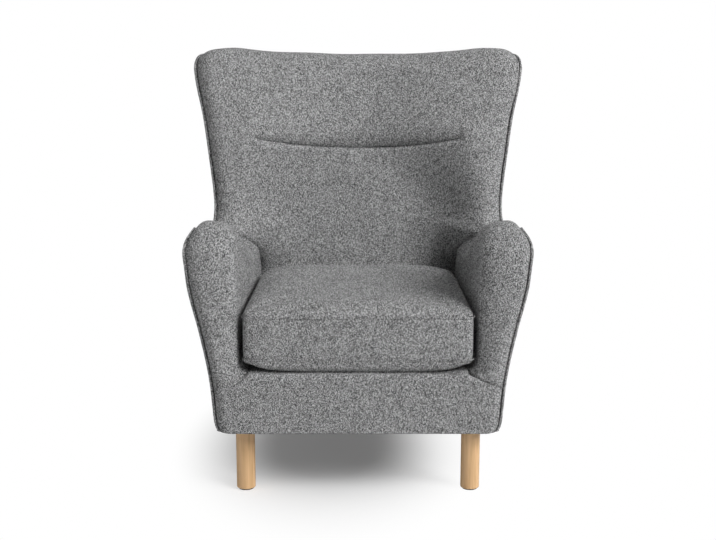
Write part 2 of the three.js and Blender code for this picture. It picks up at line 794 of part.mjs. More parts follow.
// Arm rail, and the arm post under its front, cut to the rail's slope
const armPostStart = frontEdge + armPostSetback;
const armPostEnd = armPostStart + armPostDepth;
const armPostMiddle = (armPostStart + armPostEnd) / 2;
const armPostFootX = sideX(armPostEnd, underside) - cloth - armPostInset - postWidth / 2;
const armRailZ = underside + armRailRise;
const armRailRearZ = armRailZ - armRailFall;
const armRailRearX = backPostX(armRailRearZ) + (backPostWidth + postWidth) / 2 - armRailLap;
const armRailRearY = postFront(armRailRearZ - armRailHeight / 2) - fit;
const armRailFront = point(armPostFootX + armPostLean, armPostStart, armRailZ);
const armRailRear = point(armRailRearX, armRailRearY, armRailRearZ);
addPair('arm_rail', runner(armRailFront, armRailRear, postWidth, armRailHeight), beech);

const armRailAt = (y) => onLine(
  armRailFront,
  armRailRear,
  (y - armRailFront.y) / (armRailRear.y - armRailFront.y),
);
const armRailDrop = armRailHeight / 2 + fit;
const armPostEnds = [armPostStart, armPostEnd].map((y) => armRailAt(y).z - armRailDrop);
const armPostHalf = postWidth / 2;
const armPostFoot = point(armPostFootX, armPostMiddle, frameFoot);
const armPostHead = [
  point(armRailFront.x - armPostHalf, armPostStart, armPostEnds[0]),
  point(armRailFront.x + armPostHalf, armPostStart, armPostEnds[0]),
  point(armRailFront.x + armPostHalf, armPostEnd, armPostEnds[1]),
  point(armRailFront.x - armPostHalf, armPostEnd, armPostEnds[1]),
];
const armPostBase = rectangle(armPostFoot, point(postWidth, 0, 0), point(0, armPostDepth, 0));
addPair('arm_post', solidThrough([armPostBase, armPostHead]), beech);

const sideRailStart = armPostEnd + fit;
const sideRailEnd = postFront(frameFoot) - fit;
const sideRailX = (y) => sideX(y, underside) - cloth - railInset - railThickness / 2;
const sideRailAt = (y) => point(sideRailX(y), y, railMiddle);
addPair(
  'side_rail',
  runner(sideRailAt(sideRailStart), sideRailAt(sideRailEnd), railThickness, railHeight),
  beech,
);

const frontRailHalf = armPostFootX - postWidth / 2 - fit;
const frontRailMiddle = (deckStart + frontRailEnd) / 2;
add('front_rail', crossRail(frontRailHalf, frontRailMiddle, railMiddle, railThickness, railHeight), beech);

const backPostInner = (z) => backPostX(z) - backPostWidth / 2 - fit;
const rearRailStart = postFront(railTop) + fit;
const rearRailMiddle = rearRailStart + railThickness / 2;
add(
  'rear_rail',
  crossRail(backPostInner(frameFoot), rearRailMiddle, railMiddle, railThickness, railHeight),
  beech,
);

function backRail(name, z) {
  const y = postFront(z) + backPostDepth / 2;
  const half = backPostInner(z - crossRailHeight / 2);
  add(name, crossRail(half, y, z, crossRailDepth, crossRailHeight), beech);
}
backRail('back_middle_rail', underside + middleRailHeight);
backRail('back_top_rail', backPostHead - crossRailHeight / 2);

const wingPostHead = wingTop - wingPostDrop;
const wingPostFootY = wingFront(valleyTop) + wingSweep + wingPostSetback - wingPostToe;
const wingPostSeat = armRailAt(wingPostFootY - postWidth / 2).z + armRailDrop;
const wingPostFoot = point(armRailAt(wingPostFootY).x + wingPostToe, wingPostFootY, wingPostSeat);
const wingPostTipY = wingFront(wingPostHead) + wingPostSetback;
const wingPostTip = point(
  sideX(wingPostTipY, wingPostHead) - wingPostInset,
  wingPostTipY,
  wingPostHead,
);
addPair('wing_post', upright(wingPostFoot, wingPostTip, postWidth, postWidth), beech);

// Arm covers and foams, slit round the wing posts
const slitWidth = postWidth + 2 * trimFit;
const slit = upright(wingPostFoot, wingPostTip, slitWidth, slitWidth);
const armPad = solidBetween(armSurface(padFit), armSurface(armPadding));
addPair('arm_cover', cut(solidBetween(armSurface(0), armSurface(cloth)), slit), upholstery);
addPair('arm_foam', cut(armPad, slit), padding);

const wingRailZ = wingPostHead - armRailHeight / 2;
const wingPostUp = (wingRailZ - wingPostSeat) / (wingPostHead - wingPostSeat);
const wingRailFront = onLine(wingPostFoot, wingPostTip, wingPostUp);
wingRailFront.y = wingPostTip.y + postWidth / 2 + fit;
const wingRailRear = point(
  backPostX(wingRailZ),
  postFront(wingRailZ - armRailHeight / 2) - fit,
  wingRailZ,
);
addPair('wing_rail', runner(wingRailFront, wingRailRear, postWidth, armRailHeight), beech);

const circle = (x, y, radius, sides) => steps(sides).slice(0, -1).map((t) => new THREE.Vector2(
  x + radius * Math.cos(2 * Math.PI * t),
  y + radius * Math.sin(2 * Math.PI * t),
));

// Sinuous seat springs: a wave of wire laid from the front rail to the rear rail, bowed upward
class SpringLine extends THREE.Curve {
  constructor(x) {
    super();
    this.x = x;
  }

  getPoint(t) {
    return point(
      this.x + springSwing * Math.sin(2 * Math.PI * springLoops * t),
      mix(frontRailMiddle, rearRailMiddle, t),
      railTop + fit + springWire + springBow * Math.sin(Math.PI * t),
    );
  }
}
steps(springCount - 1).forEach((t, i) => {
  const line = new SpringLine(mix(-springSpan / 2, springSpan / 2, t));
  const section = new THREE.Shape(circle(0, 0, springWire, wireSides));
  const options = { steps: springLoops * stepsPerLoop, extrudePath: line };
  add(`seat_spring_${i + 1}`, closed(new THREE.ExtrudeGeometry(section, options)), springSteel);
});

// Webbing across the back posts
for (let i = 0; i < webbingCount; i += 1) {
  const middle = underside + webbingStart + webbingRise * i;
  const half = backPostX(middle) + backPostWidth / 2;
  const face = (depthIn) => [-half, half].map((x) => [-1, 1].map((end) => {
    const z = middle + end * webbingWidth / 2;
    return point(x, postFront(z) - fit - depthIn, z);
  }));
  add(`back_webbing_${i + 1}`, solidBetween(face(0), face(webbingThickness)), jute);
}

// Flat pieces cut from a plan, between two heights
function slab(plan, low, high, bores = []) {
  const shape = new THREE.Shape(plan.map((spot) => new THREE.Vector2(spot.x, spot.y)));
  for (const { x, y, radius } of bores) {
    const bore = new THREE.Path();
    bore.setFromPoints(circle(x, y, radius, boltSides));
    shape.holes.push(bore);
  }
  const geometry = new THREE.ExtrudeGeometry(shape, { depth: high - low, bevelEnabled: false });
  return closed(geometry.translate(0, 0, low));
}
const bothSides = (half) => [...half, ...[...half].reverse().map(({ x, y }) => ({ x: -x, y }))];

// Seat deck on the springs, between the arms
const deckBottom = railTop + springBow + 2 * (springWire + fit);
const deckCorner = (y) => ({ x: innerX(y, deckTop) - fit, y });
const deckPlan = bothSides([deckCorner(deckStart), deckCorner(backDepth - fit)]);
add('seat_deck_pad', slab(deckPlan, deckBottom, deckTop), padding);

// Corner blocks, legs, bolts and glides
const frontBlockY = frontRailEnd + fit + blockSize / 2;
const rearBlockY = rearRailStart - fit - blockSize / 2;
const corners = [
  { name: 'front_left', x: -legHalfSpacing, y: frontBlockY },
  { name: 'front_right', x: legHalfSpacing, y: frontBlockY },
  { name: 'rear_left', x: -rearLegHalfSpacing, y: rearBlockY },
  { name: 'rear_right', x: rearLegHalfSpacing, y: rearBlockY },
];
const turned = (profile, sides) => closed(new THREE.LatheGeometry(
  profile.map(([radius, z]) => new THREE.Vector2(radius, z)),
  sides,
).rotateX(Math.PI / 2));
const legTop = underside - fit;
const legFoot = glideHeight + fit;
const boltFoot = legTop - boltInLeg;
const blockTop = frameFoot + blockHeight;
const boreRadius = boltRadius + fit;
const boltHead = blockTop + fit;
const blockHalf = blockSize / 2;
for (const { name, x, y } of corners) {
  const plan = [[-1, -1], [1, -1], [1, 1], [-1, 1]].map(
    ([a, b]) => ({ x: x + a * blockHalf, y: y + b * blockHalf }),
  );
  const bore = { x, y, radius: boreRadius };
  add(`corner_block_${name}`, slab(plan, frameFoot, blockTop, [bore]), beech);
  add(`leg_${name}`, turned([
    [0, legFoot],
    [legRadius - legBevel, legFoot],
    [legRadius, legFoot + legBevel],
    [legRadius, legTop],
    [boreRadius, legTop],
    [boreRadius, boltFoot - fit],
    [0, boltFoot - fit],
  ], roundSides), oak).position.set(x, y, 0);
  add(`leg_bolt_${name}`, turned([
    [0, boltFoot],
    [boltRadius, boltFoot],
    [boltRadius, boltHead],
    [boltHeadRadius, boltHead],
    [boltHeadRadius, boltHead + boltHeadHeight],
    [0, boltHead + boltHeadHeight],
  ], boltSides), plated).position.set(x, y, 0);
  add(`glide_${name}`, turned([
    [0, 0],
    [glideRadius, 0],
    [glideRadius, glideHeight],
    [0, glideHeight],
  ], roundSides), plastic).position.set(x, y, 0);
}

// Dust cover under the frame, inside the covers all round
const inside = borderSurface(padFit, 0, underside, archStart).map((column) => column[0]);
const dustFront = inside.slice(0, inside.length / 2).reverse();
const dustStart = dustFront[dustFront.length - 1].y + fit;
const dustSide = steps(dustSteps).map((t) => {
  const y = mix(dustStart, rearEdge(underside) - padFit, t);
  return { x: sideX(y, underside) - padFit - fit, y };
});
const dustCorner = dustSide[dustSide.length - 1].x;
const dustRear = later(rearSteps).map((t) => ({
  x: dustCorner * (1 - t),
  y: rearEdge(underside) + rearBow * (1 - (1 - t) ** 2) - padFit,
}));
const dustHoles = corners.map(({ x, y }) => ({ x, y, radius: boreRadius }));
const dustPlan = bothSides([...dustFront, ...dustSide, ...dustRear.slice(0, -1)]);
add('dust_cover', slab(dustPlan, underside, underside + dustCloth, dustHoles), lining);

// Loose seat cushion: rings from the flat bottom over the sewn band to the crown
const cushionBottom = deckTop + fit;
const lowerSeam = deckTop + cushionLowerSeam;
const upperSeam = lowerSeam + cushionBand;
function cushionRing({ inward, z }) {
  const front = cushionFront + inward;
  const rear = cushionFront + cushionDepth - inward;
  const halfAt = (y) => innerX(y, deckTop) - cushionSideFit - inward;
  const turn = (x, y, from) => steps(cornerSteps).map((t) => {
    const angle = from + t * Math.PI / 2;
    const cx = x - Math.sign(x) * cushionCorner;
    const cy = y + (y === front ? cushionCorner : -cushionCorner);
    return point(cx + cushionCorner * Math.cos(angle), cy + cushionCorner * Math.sin(angle), z);
  });
  const turns = [
    turn(halfAt(front), front, -Math.PI / 2),
    turn(halfAt(rear), rear, 0),
    turn(-halfAt(rear), rear, Math.PI / 2),
    turn(-halfAt(front), front, Math.PI),
  ];
  const draws = [[-1, 0], [0, 0], [1, 0], [0, 1]];
  return turns.flatMap((corner, i) => {
    const next = turns[(i + 1) % turns.length][0];
    const last = corner[corner.length - 1];
    const between = steps(sideSteps).slice(1, -1).map((t) => {
      const draw = cushionDrawIn * Math.sin(Math.PI * t);
      return onLine(last, next, t).add(point(draws[i][0] * draw, draws[i][1] * draw, 0));
    });
    return [...corner, ...between];
  });
}
function cushionSolid(depthIn) {
  const bend = (t) => t * Math.PI / 2;
  const bottom = later(crownSteps).reverse().map(bend).map((angle) => ({
    inward: bottomInset * (1 - Math.cos(angle)) + depthIn * Math.cos(angle),
    z: lowerSeam - (lowerSeam - cushionBottom - depthIn) * Math.sin(angle),
  }));
  const band = steps(bandSteps).map((t) => ({
    inward: depthIn - cushionSwell * Math.sin(Math.PI * t),
    z: mix(lowerSeam, upperSeam, t),
  }));
  const crown = later(crownSteps).map(bend).map((angle) => ({
    inward: crownInset * (1 - Math.cos(angle)) + depthIn * Math.cos(angle),
    z: upperSeam + (cushionCrown - depthIn) * Math.sin(angle),
  }));
  return solidThrough([...bottom, ...band, ...crown].map(cushionRing));
}
const cushionRear = cushionFront + cushionDepth + cushionSwell;
const zipMiddle = (lowerSeam + upperSeam) / 2;
const zipHalf = zipLength / 2;
const zipSlot = crossRail(
  zipHalf + fit,
  cushionRear,
  zipMiddle,
  2 * overrun,
  zipTapeHeight + 2 * fit,
);
add('seat_cushion_cover', cut(cushionSolid(0), cushionSolid(cloth), zipSlot), upholstery, cushion);
add('seat_cushion_foam', cushionSolid(cloth + foamFit), padding, cushion);

// Profile in the YZ plane carried along X between two places
function alongX(profile, from, to) {
  const shape = new THREE.Shape(profile.map(([y, z]) => new THREE.Vector2(y, z)));
  const geometry = new THREE.ExtrudeGeometry(shape, { depth: to - from, bevelEnabled: false });
  geometry.rotateX(Math.PI / 2).rotateZ(Math.PI / 2);
  return closed(geometry.translate(from, cushionRear, zipMiddle));
}
const tape = zipTapeHeight / 2;
const teeth = zipTeethHeight / 2;
add('cushion_zip', alongX([
  [-cloth, -tape],
  [0, -tape],
  [0, -teeth],
  [zipTeethProud, -teeth],
  [zipTeethProud, teeth],
  [0, teeth],
  [0, tape],
  [-cloth, tape],
], -zipHalf, zipHalf), nylon, cushion);

const sliderHalf = sliderHeight / 2;
const sliderFace = zipTeethProud + fit + sliderThickness;
const sliderStart = -zipHalf + fit;
const sliderBody = alongX([
  [fit, -sliderHalf],
  [sliderFace, -sliderHalf],
  [sliderFace, sliderHalf],
  [fit, sliderHalf],
  [fit, teeth + fit],
  [zipTeethProud + fit, teeth + fit],
  [zipTeethProud + fit, -teeth - fit],
  [fit, -teeth - fit],
], sliderStart, sliderStart + sliderLength);
const pullMiddle = sliderStart + sliderLength / 2;
const sliderPull = alongX([
  [sliderFace - pullThickness, -sliderHalf - pullLength],
  [sliderFace, -sliderHalf - pullLength],
  [sliderFace, -teeth],
  [sliderFace - pullThickness, -teeth],
], pullMiddle - pullWidth / 2, pullMiddle + pullWidth / 2);
add('zip_slider', join(sliderBody, sliderPull), nylon, slider);

// The middle of the chair's depth stands over the origin.
const foremost = cushionFront - cushionSwell;
const rearmost = rearEdge(backTop - rearSeamDrop) + rearBow;
chair.position.y = -(foremost + rearmost) / 2;

export default chair;
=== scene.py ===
import json
import math
import bpy
import numpy as np
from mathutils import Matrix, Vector


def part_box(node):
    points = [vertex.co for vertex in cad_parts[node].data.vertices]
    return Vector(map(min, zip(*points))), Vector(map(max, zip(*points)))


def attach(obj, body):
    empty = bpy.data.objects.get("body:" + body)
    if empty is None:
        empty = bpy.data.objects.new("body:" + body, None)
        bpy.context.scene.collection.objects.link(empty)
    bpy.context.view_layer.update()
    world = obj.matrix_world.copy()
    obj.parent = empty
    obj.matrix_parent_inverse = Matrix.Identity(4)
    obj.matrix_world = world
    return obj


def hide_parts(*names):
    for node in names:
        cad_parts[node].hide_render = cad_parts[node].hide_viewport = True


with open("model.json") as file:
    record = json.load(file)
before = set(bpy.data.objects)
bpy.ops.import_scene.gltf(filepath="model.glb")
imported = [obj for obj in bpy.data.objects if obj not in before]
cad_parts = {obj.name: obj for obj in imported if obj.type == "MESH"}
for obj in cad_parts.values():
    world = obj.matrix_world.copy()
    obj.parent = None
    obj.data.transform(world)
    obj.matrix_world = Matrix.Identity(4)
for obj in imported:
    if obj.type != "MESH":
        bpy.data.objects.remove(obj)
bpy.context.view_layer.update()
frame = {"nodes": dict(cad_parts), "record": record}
scene = bpy.context.scene
print("stage: frame loaded")

# Sizes are in millimetres, as in the solids' source, and meshes are made in metres.
mm = 0.001
tiny = 1e-9

# The shell: edges in side view, plan of the flared sides, arms and back.
# y is the depth behind the arm fronts, z the height above the floor.
shell = {
    "cloth": 2.2, "weltRadius": 4, "weltShow": 3.2, "weltOut": 1.8, "seamFit": 0.5, "fit": 0.3,
    "underside": 167, "armHeight": 483, "armShoulderReach": 74, "armShoulderDrop": 60,
    "valleyDrop": 65, "wingHeight": 863, "wingReach": 60, "wingTopDepth": 175,
    "wingSweep": 72, "wingSweepHeight": 24, "earReach": 38, "earDrop": 40,
    "backThickness": 133, "rearLean": 130, "rearHalfFoot": 300, "rearHalfRise": 30,
    "flareTop": 248, "flareFade": 272, "archStart": math.radians(28), "archRise": 40,
    "archFade": 0.5, "armInnerDrop": 48, "archSkew": 1.3, "armShoulderIn": 19.5,
    "armShoulderPower": 3.1, "footIn": 8, "footReach": 11, "footFade": 0.8, "filletRise": 34,
    "filletIn": 24, "armInnerHalf": 291.5, "armTaper": 23.5, "armFlare": 10,
    "armFlareDrop": 220, "armSeamHeight": 109, "armSeamRise": 40, "armSeamFade": 130,
    "deckHeight": 149, "deckTuck": 14, "borderRoll": 10, "borderPadding": 20,
    "backRake": math.tan(math.radians(13)), "backRakeStart": 284, "backDip": 3,
    "crestShare": 0.9, "wingRoll": 30, "wingSink": 140, "wingCrowding": 1.7,
    "hollowSharp": 6.5, "hollowSoft": 2.2, "hollowRise": 230, "crownRise": 19, "topDepth": 85,
    "rearSeamDrop": 27, "rearBow": 12, "tuckDrop": 246, "tuckRise": 39, "tuckHalf": 288,
    "cushionFront": 2, "cushionSwell": 4, "cushionDepth": 516, "cushionRearFit": 14,
    "cushionSideFit": 6.5, "rearSpace": 6, "backPostDepth": 58,
}
# How far the flare of the sides has come at shares of the height
flareShares = np.array([
    [0, 0.208], [0.155, 0.236], [0.287, 0.311], [0.409, 0.402], [0.491, 0.425],
    [0.572, 0.462], [0.694, 0.573], [0.817, 0.714], [0.918, 0.893], [1, 1],
])


def value(name):
    return shell[name]


def mix(a, b, t):
    return a + (b - a) * t


def ease(t):
    t = np.clip(t, 0, 1)
    return t * t * (3 - 2 * t)


def steps(count):
    return np.linspace(0, 1, count + 1)


def turns(count):
    # Angles all the way round, each once
    return np.linspace(0, 2 * math.pi, count, endpoint=False)


armTop = value("underside") + value("armHeight")
valleyTop = armTop - value("valleyDrop")
wingTop = value("underside") + value("wingHeight")
earStart = wingTop - value("earDrop")
armSeamFoot = value("underside") + value("armSeamHeight")
deckTop = value("underside") + value("deckHeight")
coverFoot = deckTop - value("deckTuck")
backTop = wingTop - value("backDip")
tuckMiddle = backTop - value("tuckDrop")
backDepth = value("cushionFront") + value("cushionDepth") + value("cushionRearFit")
rearFoot = backDepth + value("backThickness")
wingDepth = backDepth - value("wingReach")
frontEdge = value("archRise") * (1 - math.sin(value("archStart")))
seamInset = value("cloth") / 2 + value("weltRadius") + value("seamFit")
shoulderFoot = armTop - value("armShoulderDrop")
crestDepth = frontEdge + value("armShoulderReach")


def neighbourStep(line):
    # From each point's neighbour before it to the one after it, held at both ends
    i = np.arange(len(line))
    return line[np.minimum(i + 1, len(line) - 1)] - line[np.maximum(i - 1, 0)]


def alongTable(table, places):
    # Cubic curve through the table's points, with the slope between each point's neighbours
    x, y = table.T
    slopes = neighbourStep(y) / neighbourStep(x)
    i = np.clip(np.searchsorted(x, places) - 1, 0, len(x) - 2)
    width = x[i + 1] - x[i]
    t = (places - x[i]) / width
    bend = 2 * t ** 3 - 3 * t ** 2 + 1
    return (y[i] * bend + y[i + 1] * (1 - bend) + width * slopes[i] * (t ** 3 - 2 * t ** 2 + t)
            + width * slopes[i + 1] * (t ** 3 - t ** 2))


flareSamples = 400
flarePlaces = np.linspace(0, 1, flareSamples)
flareValues = alongTable(flareShares, flarePlaces)


def rise(z):
    return (z - value("underside")) / value("wingHeight")


def rearEdge(z):
    return rearFoot + value("rearLean") * rise(z)


def rearHalf(z):
    return value("rearHalfFoot") + value("rearHalfRise") * rise(z)


def armLower(y):
    # How far along the arm a depth is, from 0 at its shoulder to 1 at the valley
    return ease((y - crestDepth) / (wingDepth - value("wingSweep") - crestDepth))


def sideX(y, z):
    # Half width: straight at the rear, flaring forward, the arm's top and the foot leaning in
    flare = value("flareTop") * np.interp(rise(z), flarePlaces, flareValues)
    shoulder = np.clip((z - shoulderFoot) / value("armShoulderDrop"), 0, 1)
    shoulderIn = value("armShoulderIn") * shoulder ** value("armShoulderPower")
    footIn = value("footIn") * np.exp((value("underside") - z) / value("footReach"))
    return (rearHalf(z) + flare * (1 - np.exp((y - rearEdge(z)) / value("flareFade")))
            - shoulderIn * (1 - armLower(y))
            - footIn * (1 - value("footFade") * ease(y / value("cushionDepth"))))


wingRake = (rearEdge(wingTop) - value("wingTopDepth") - wingDepth) / (wingTop - valleyTop)


def wingFront(z):
    sweep = value("wingSweep") * np.exp((valleyTop - z) / value("wingSweepHeight"))
    return wingDepth + (z - valleyTop) * wingRake - sweep


def innerX(y, z):
    # Half the room between the arms: they lean out at the crest and curve in at the deck.
    lean = np.maximum(0, (z - armTop + value("armFlareDrop")) / value("armFlareDrop")) ** 2
    low = np.clip((deckTop + value("filletRise") - z) / value("filletRise"), 0, 1)
    return (value("armInnerHalf") - value("armTaper") * y / value("cushionDepth")
            + value("armFlare") * lean - value("filletIn") * (1 - np.sqrt(1 - low ** 2)))


armEnd = rearEdge(coverFoot) - value("rearSpace") - value("backPostDepth") - value("fit")
foremost = value("cushionFront") - value("cushionSwell")
rearmost = rearEdge(backTop - value("rearSeamDrop")) + value("rearBow")
centreY = (foremost + rearmost) / 2


def armEdge(start, front, shoulder, crest):
    # Edge of the arm in side view, as depth and height: straight up the front, a quarter
    # ellipse at the shoulder, and an eased fall to the valley
    reach = value("armShoulderReach")
    angle = steps(shoulder)[1:] * math.pi / 2
    t = steps(crest)[1:]
    rows = [
        np.stack([np.full(front + 1, frontEdge), mix(start, shoulderFoot, steps(front))], 1),
        np.stack([frontEdge + reach * (1 - np.cos(angle)),
                  shoulderFoot + value("armShoulderDrop") * np.sin(angle)], 1),
        np.stack([mix(crestDepth, wingFront(valleyTop), t),
                  armTop - value("valleyDrop") * ease(t)], 1),
    ]
    return np.concatenate(rows)


def earPoint(angle):
    z = earStart + value("earDrop") * np.sin(angle)
    return np.stack([wingFront(z) + value("earReach") * (1 - np.cos(angle)), z], -1)


def wingEdge(face, ear, top):
    # Edge of the wing in side view: up its front, closest together at the valley, round the
    # ear, and back along the top
    z = mix(valleyTop, earStart, steps(face)[1:] ** value("wingCrowding"))
    end = earPoint(math.pi / 2)
    t = steps(top)[1:]
    return np.concatenate([
        np.stack([wingFront(z), z], 1),
        earPoint(steps(ear)[1:] * math.pi / 2),
        np.stack([mix(end[0], rearEdge(wingTop), t), np.full(top, wingTop)], 1),
    ])


def outward(line):
    # Unit vectors square to an edge's run in side view, away from the shell
    run = neighbourStep(line)
    run /= np.linalg.norm(run, axis=1)[:, None]
    return np.stack([-run[:, 1], run[:, 0]], 1)


def lengthShares(line):
    lengths = np.concatenate([[0], np.cumsum(np.linalg.norm(np.diff(line, axis=0), axis=1))])
    return lengths / lengths[-1]


def points(x, y, z):
    return np.stack(np.broadcast_arrays(x, y, z), -1).astype(float)


def added(name, data):
    thing = bpy.data.objects.new(name, data)
    scene.collection.objects.link(thing)
    return thing


# Meshes from grids of points
def makeMesh(name, verts, faces, material):
    mesh = bpy.data.meshes.new(name)
    count, corners = faces.shape
    mesh.vertices.add(len(verts))
    mesh.vertices.foreach_set("co", verts.astype(np.float32).ravel())
    mesh.loops.add(count * corners)
    mesh.loops.foreach_set("vertex_index", faces.astype(np.int32).ravel())
    mesh.polygons.add(count)
    mesh.polygons.foreach_set("loop_start", np.arange(0, count * corners, corners, dtype=np.int32))
    mesh.polygons.foreach_set("use_smooth", np.full(count, True))
    mesh.update(calc_edges=True)
    mesh.validate()
    mesh.materials.append(material)
    return added(name, mesh)


def placed(grid):
    # Depths behind the arm fronts become places about the chair's middle, in metres.
    return (grid.reshape(-1, 3) - np.array([0, centreY, 0])) * mm


def gridFaces(rows, columns, closedRound=False):
    i = np.arange(rows - 1)[:, None]
    j = np.arange(columns if closedRound else columns - 1)[None, :]
    k = (j + 1) % columns
    faces = np.stack(np.broadcast_arrays(
        i * columns + j, i * columns + k, (i + 1) * columns + k, (i + 1) * columns + j), -1)
    return faces.reshape(-1, 4)


def gridPiece(name, grid, material, thickness=0, flip=False, closedRound=False):
    faces = gridFaces(len(grid), len(grid[0]), closedRound)
    if flip:
        faces = faces[:, ::-1]
    piece = makeMesh(name, placed(grid), faces, material)
    if thickness:
        solid = piece.modifiers.new("thickness", "SOLIDIFY")
        solid.thickness = thickness * mm
        solid.offset = -1
    return piece


sides = (("right", 1), ("left", -1))


def sided(grid, sign):
    # The right side's grid, or its mirror image for the left
    return grid * np.array([sign, 1, 1])


def normals(grid):
    # Unit vectors square to a grid's surface, from its rows' and columns' directions
    normal = np.cross(np.gradient(grid, axis=0), np.gradient(grid, axis=1))
    return normal / np.maximum(np.linalg.norm(normal, axis=2), tiny)[..., None]


# The noise's waves: how many, how widely their lengths differ, and what divides their sum
noise = {"waves": 9, "slow": 0.6, "fast": 1.7, "divisor": 4}


def softNoise(grid, size, seed):
    # Smooth waves in many directions, between about -1 and 1, without a grain of their own
    chance = np.random.default_rng(seed)
    total = np.zeros(grid.shape[:-1])
    for _ in range(noise["waves"]):
        way = chance.normal(size=3)
        way *= chance.uniform(noise["slow"], noise["fast"]) / np.linalg.norm(way)
        total += np.sin(grid @ way * (2 * math.pi / size) + chance.uniform(0, 2 * math.pi))
    return total / noise["divisor"]


def rippled(grid, amount, size, seed):
    # Stuffed cloth is never quite even: it moves along its normals by a smooth noise.
    return grid + normals(grid) * (softNoise(grid, size, seed) * amount)[..., None]


# Materials
def principled(name, color, roughness, metallic=0.0):
    material = bpy.data.materials.new(name)
    material.use_nodes = True
    shader = material.node_tree.nodes["Principled BSDF"]
    shader.inputs["Base Color"].default_value = (*color, 1)
    shader.inputs["Roughness"].default_value = roughness
    shader.inputs["Metallic"].default_value = metallic
    material.diffuse_color = (*color, 1)
    return material, shader


def addNode(tree, kind, inputs, operation=None):
    # A node whose inputs, by name or in order, are linked to sockets or set to plain values
    node = tree.nodes.new("ShaderNode" + kind)
    if operation:
        node.operation = operation
    for key, source in inputs.items() if isinstance(inputs, dict) else enumerate(inputs):
        if hasattr(source, "is_linked"):
            tree.links.new(source, node.inputs[key])
        else:
            node.inputs[key].default_value = source
    return node


def mathNode(tree, operation, *sources):
    return addNode(tree, "Math", sources, operation).outputs[0]


def noiseNode(tree, vector, scale, detail=1.0, roughness=0.5, distortion=0.0):
    return addNode(tree, "TexNoise", {
        "Vector": vector, "Scale": scale, "Detail": detail, "Roughness": roughness,
        "Distortion": distortion}).outputs


def rampNode(tree, factor, places, colors):
    node = tree.nodes.new("ShaderNodeValToRGB")
    tree.links.new(factor, node.inputs["Fac"])
    elements = node.color_ramp.elements
    while len(elements) < len(places):
        elements.new(0.5)
    for element, place, color in zip(elements, places, colors):
        element.position = place
        element.color = (*color, 1)
    return node.outputs["Color"]


def stretched(tree, vector, scale):
    # Coordinates multiplied along each axis
    return addNode(tree, "Mapping", {"Vector": vector, "Scale": scale}).outputs[0]


def relief(tree, height, look, shader):
    # Fine bumps, with their height in metres
    bump = addNode(tree, "Bump", {
        "Height": height, "Distance": look["bump"], "Strength": look["bumpStrength"]})
    tree.links.new(bump.outputs[0], shader.inputs["Normal"])


# Melange wool: crimped light and dark yarns, a little longer than wide, over a fine fibre noise.
# A noise has scale, detail, roughness and distortion, and a share of the blend that the ramp's
# stops turn into dark, mid and light yarn.
fabricLook = {
    "dark": (0.018, 0.0185, 0.019), "mid": (0.164, 0.165, 0.166), "light": (0.65, 0.652, 0.655),
    "stops": (0.29, 0.47, 0.55, 0.73), "yarns": 1350, "yarnShare": 0.74, "grain": (1, 0.2, 0.42),
    "crimp": 0.0016, "crimpNoise": (620,), "slub": (675, 2, 0.5, 0.4), "slubShare": 0.06,
    "fibre": (2600, 2, 0.6), "fibreShare": 0.16, "patch": (14, 2, 0.5), "patchShare": 0.04,
    "knot": -0.6, "bump": 0.0008, "bumpStrength": 0.8, "roughness": 0.92, "sheen": 0.1,
    "sheenRoughness": 0.6, "specular": 0.2,
}


def melange(look):
    tree = bpy.data.node_groups.new("melange", "ShaderNodeTree")
    for socket, kind in (("Color", "NodeSocketColor"), ("Height", "NodeSocketFloat")):
        tree.interface.new_socket(socket, in_out="OUTPUT", socket_type=kind)
    end = tree.nodes.new("NodeGroupOutput")
    coords = tree.nodes.new("ShaderNodeTexCoord").outputs["Object"]
    # The yarns' places are pushed about by a noise, which crimps them.
    push = noiseNode(tree, coords, *look["crimpNoise"])["Color"]
    crimped = addNode(tree, "VectorMath", (push, (look["crimp"],) * 3, coords), "MULTIPLY_ADD")
    grain = stretched(tree, crimped.outputs[0], look["grain"])
    yarn = addNode(tree, "TexVoronoi", {"Vector": grain, "Scale": look["yarns"]}).outputs
    shade = addNode(tree, "SeparateColor", (yarn["Color"],)).outputs[0]
    blend = mathNode(tree, "MULTIPLY", shade, look["yarnShare"])
    for name, vector in (("slub", grain), ("fibre", grain), ("patch", coords)):
        level = noiseNode(tree, vector, *look[name])["Fac"]
        blend = mathNode(tree, "MULTIPLY_ADD", level, look[name + "Share"], blend)
    color = rampNode(tree, blend, look["stops"], [
        look["dark"], look["mid"], look["mid"], look["light"]])
    tree.links.new(color, end.inputs["Color"])
    height = mathNode(tree, "MULTIPLY_ADD", yarn["Distance"], look["knot"], blend)
    tree.links.new(height, end.inputs["Height"])
    return tree


def fabricMaterial(look):
    material, shader = principled("upholstery", look["mid"], look["roughness"])
    tree = material.node_tree
    node = tree.nodes.new("ShaderNodeGroup")
    node.node_tree = melange(look)
    tree.links.new(node.outputs["Color"], shader.inputs["Base Color"])
    relief(tree, node.outputs["Height"], look, shader)
    shader.inputs["Sheen Weight"].default_value = look["sheen"]
    shader.inputs["Sheen Roughness"].default_value = look["sheenRoughness"]
    shader.inputs["Specular IOR Level"].default_value = look["specular"]
    return material


fabric = fabricMaterial(fabricLook)

# Timber: growth rings seen lengthwise, with fine pores; the noises as in the wool
woodLook = {
    "grain": (9, 9, 0.63), "rings": (7, 3, 0.55, 0.6), "ringShare": 0.65,
    "poreGrain": (1, 1, 0.05), "pores": (210, 2, 0.6), "poreShare": 0.35,
    "stops": (0.36, 0.62), "bump": 0.0002, "bumpStrength": 0.5,
}


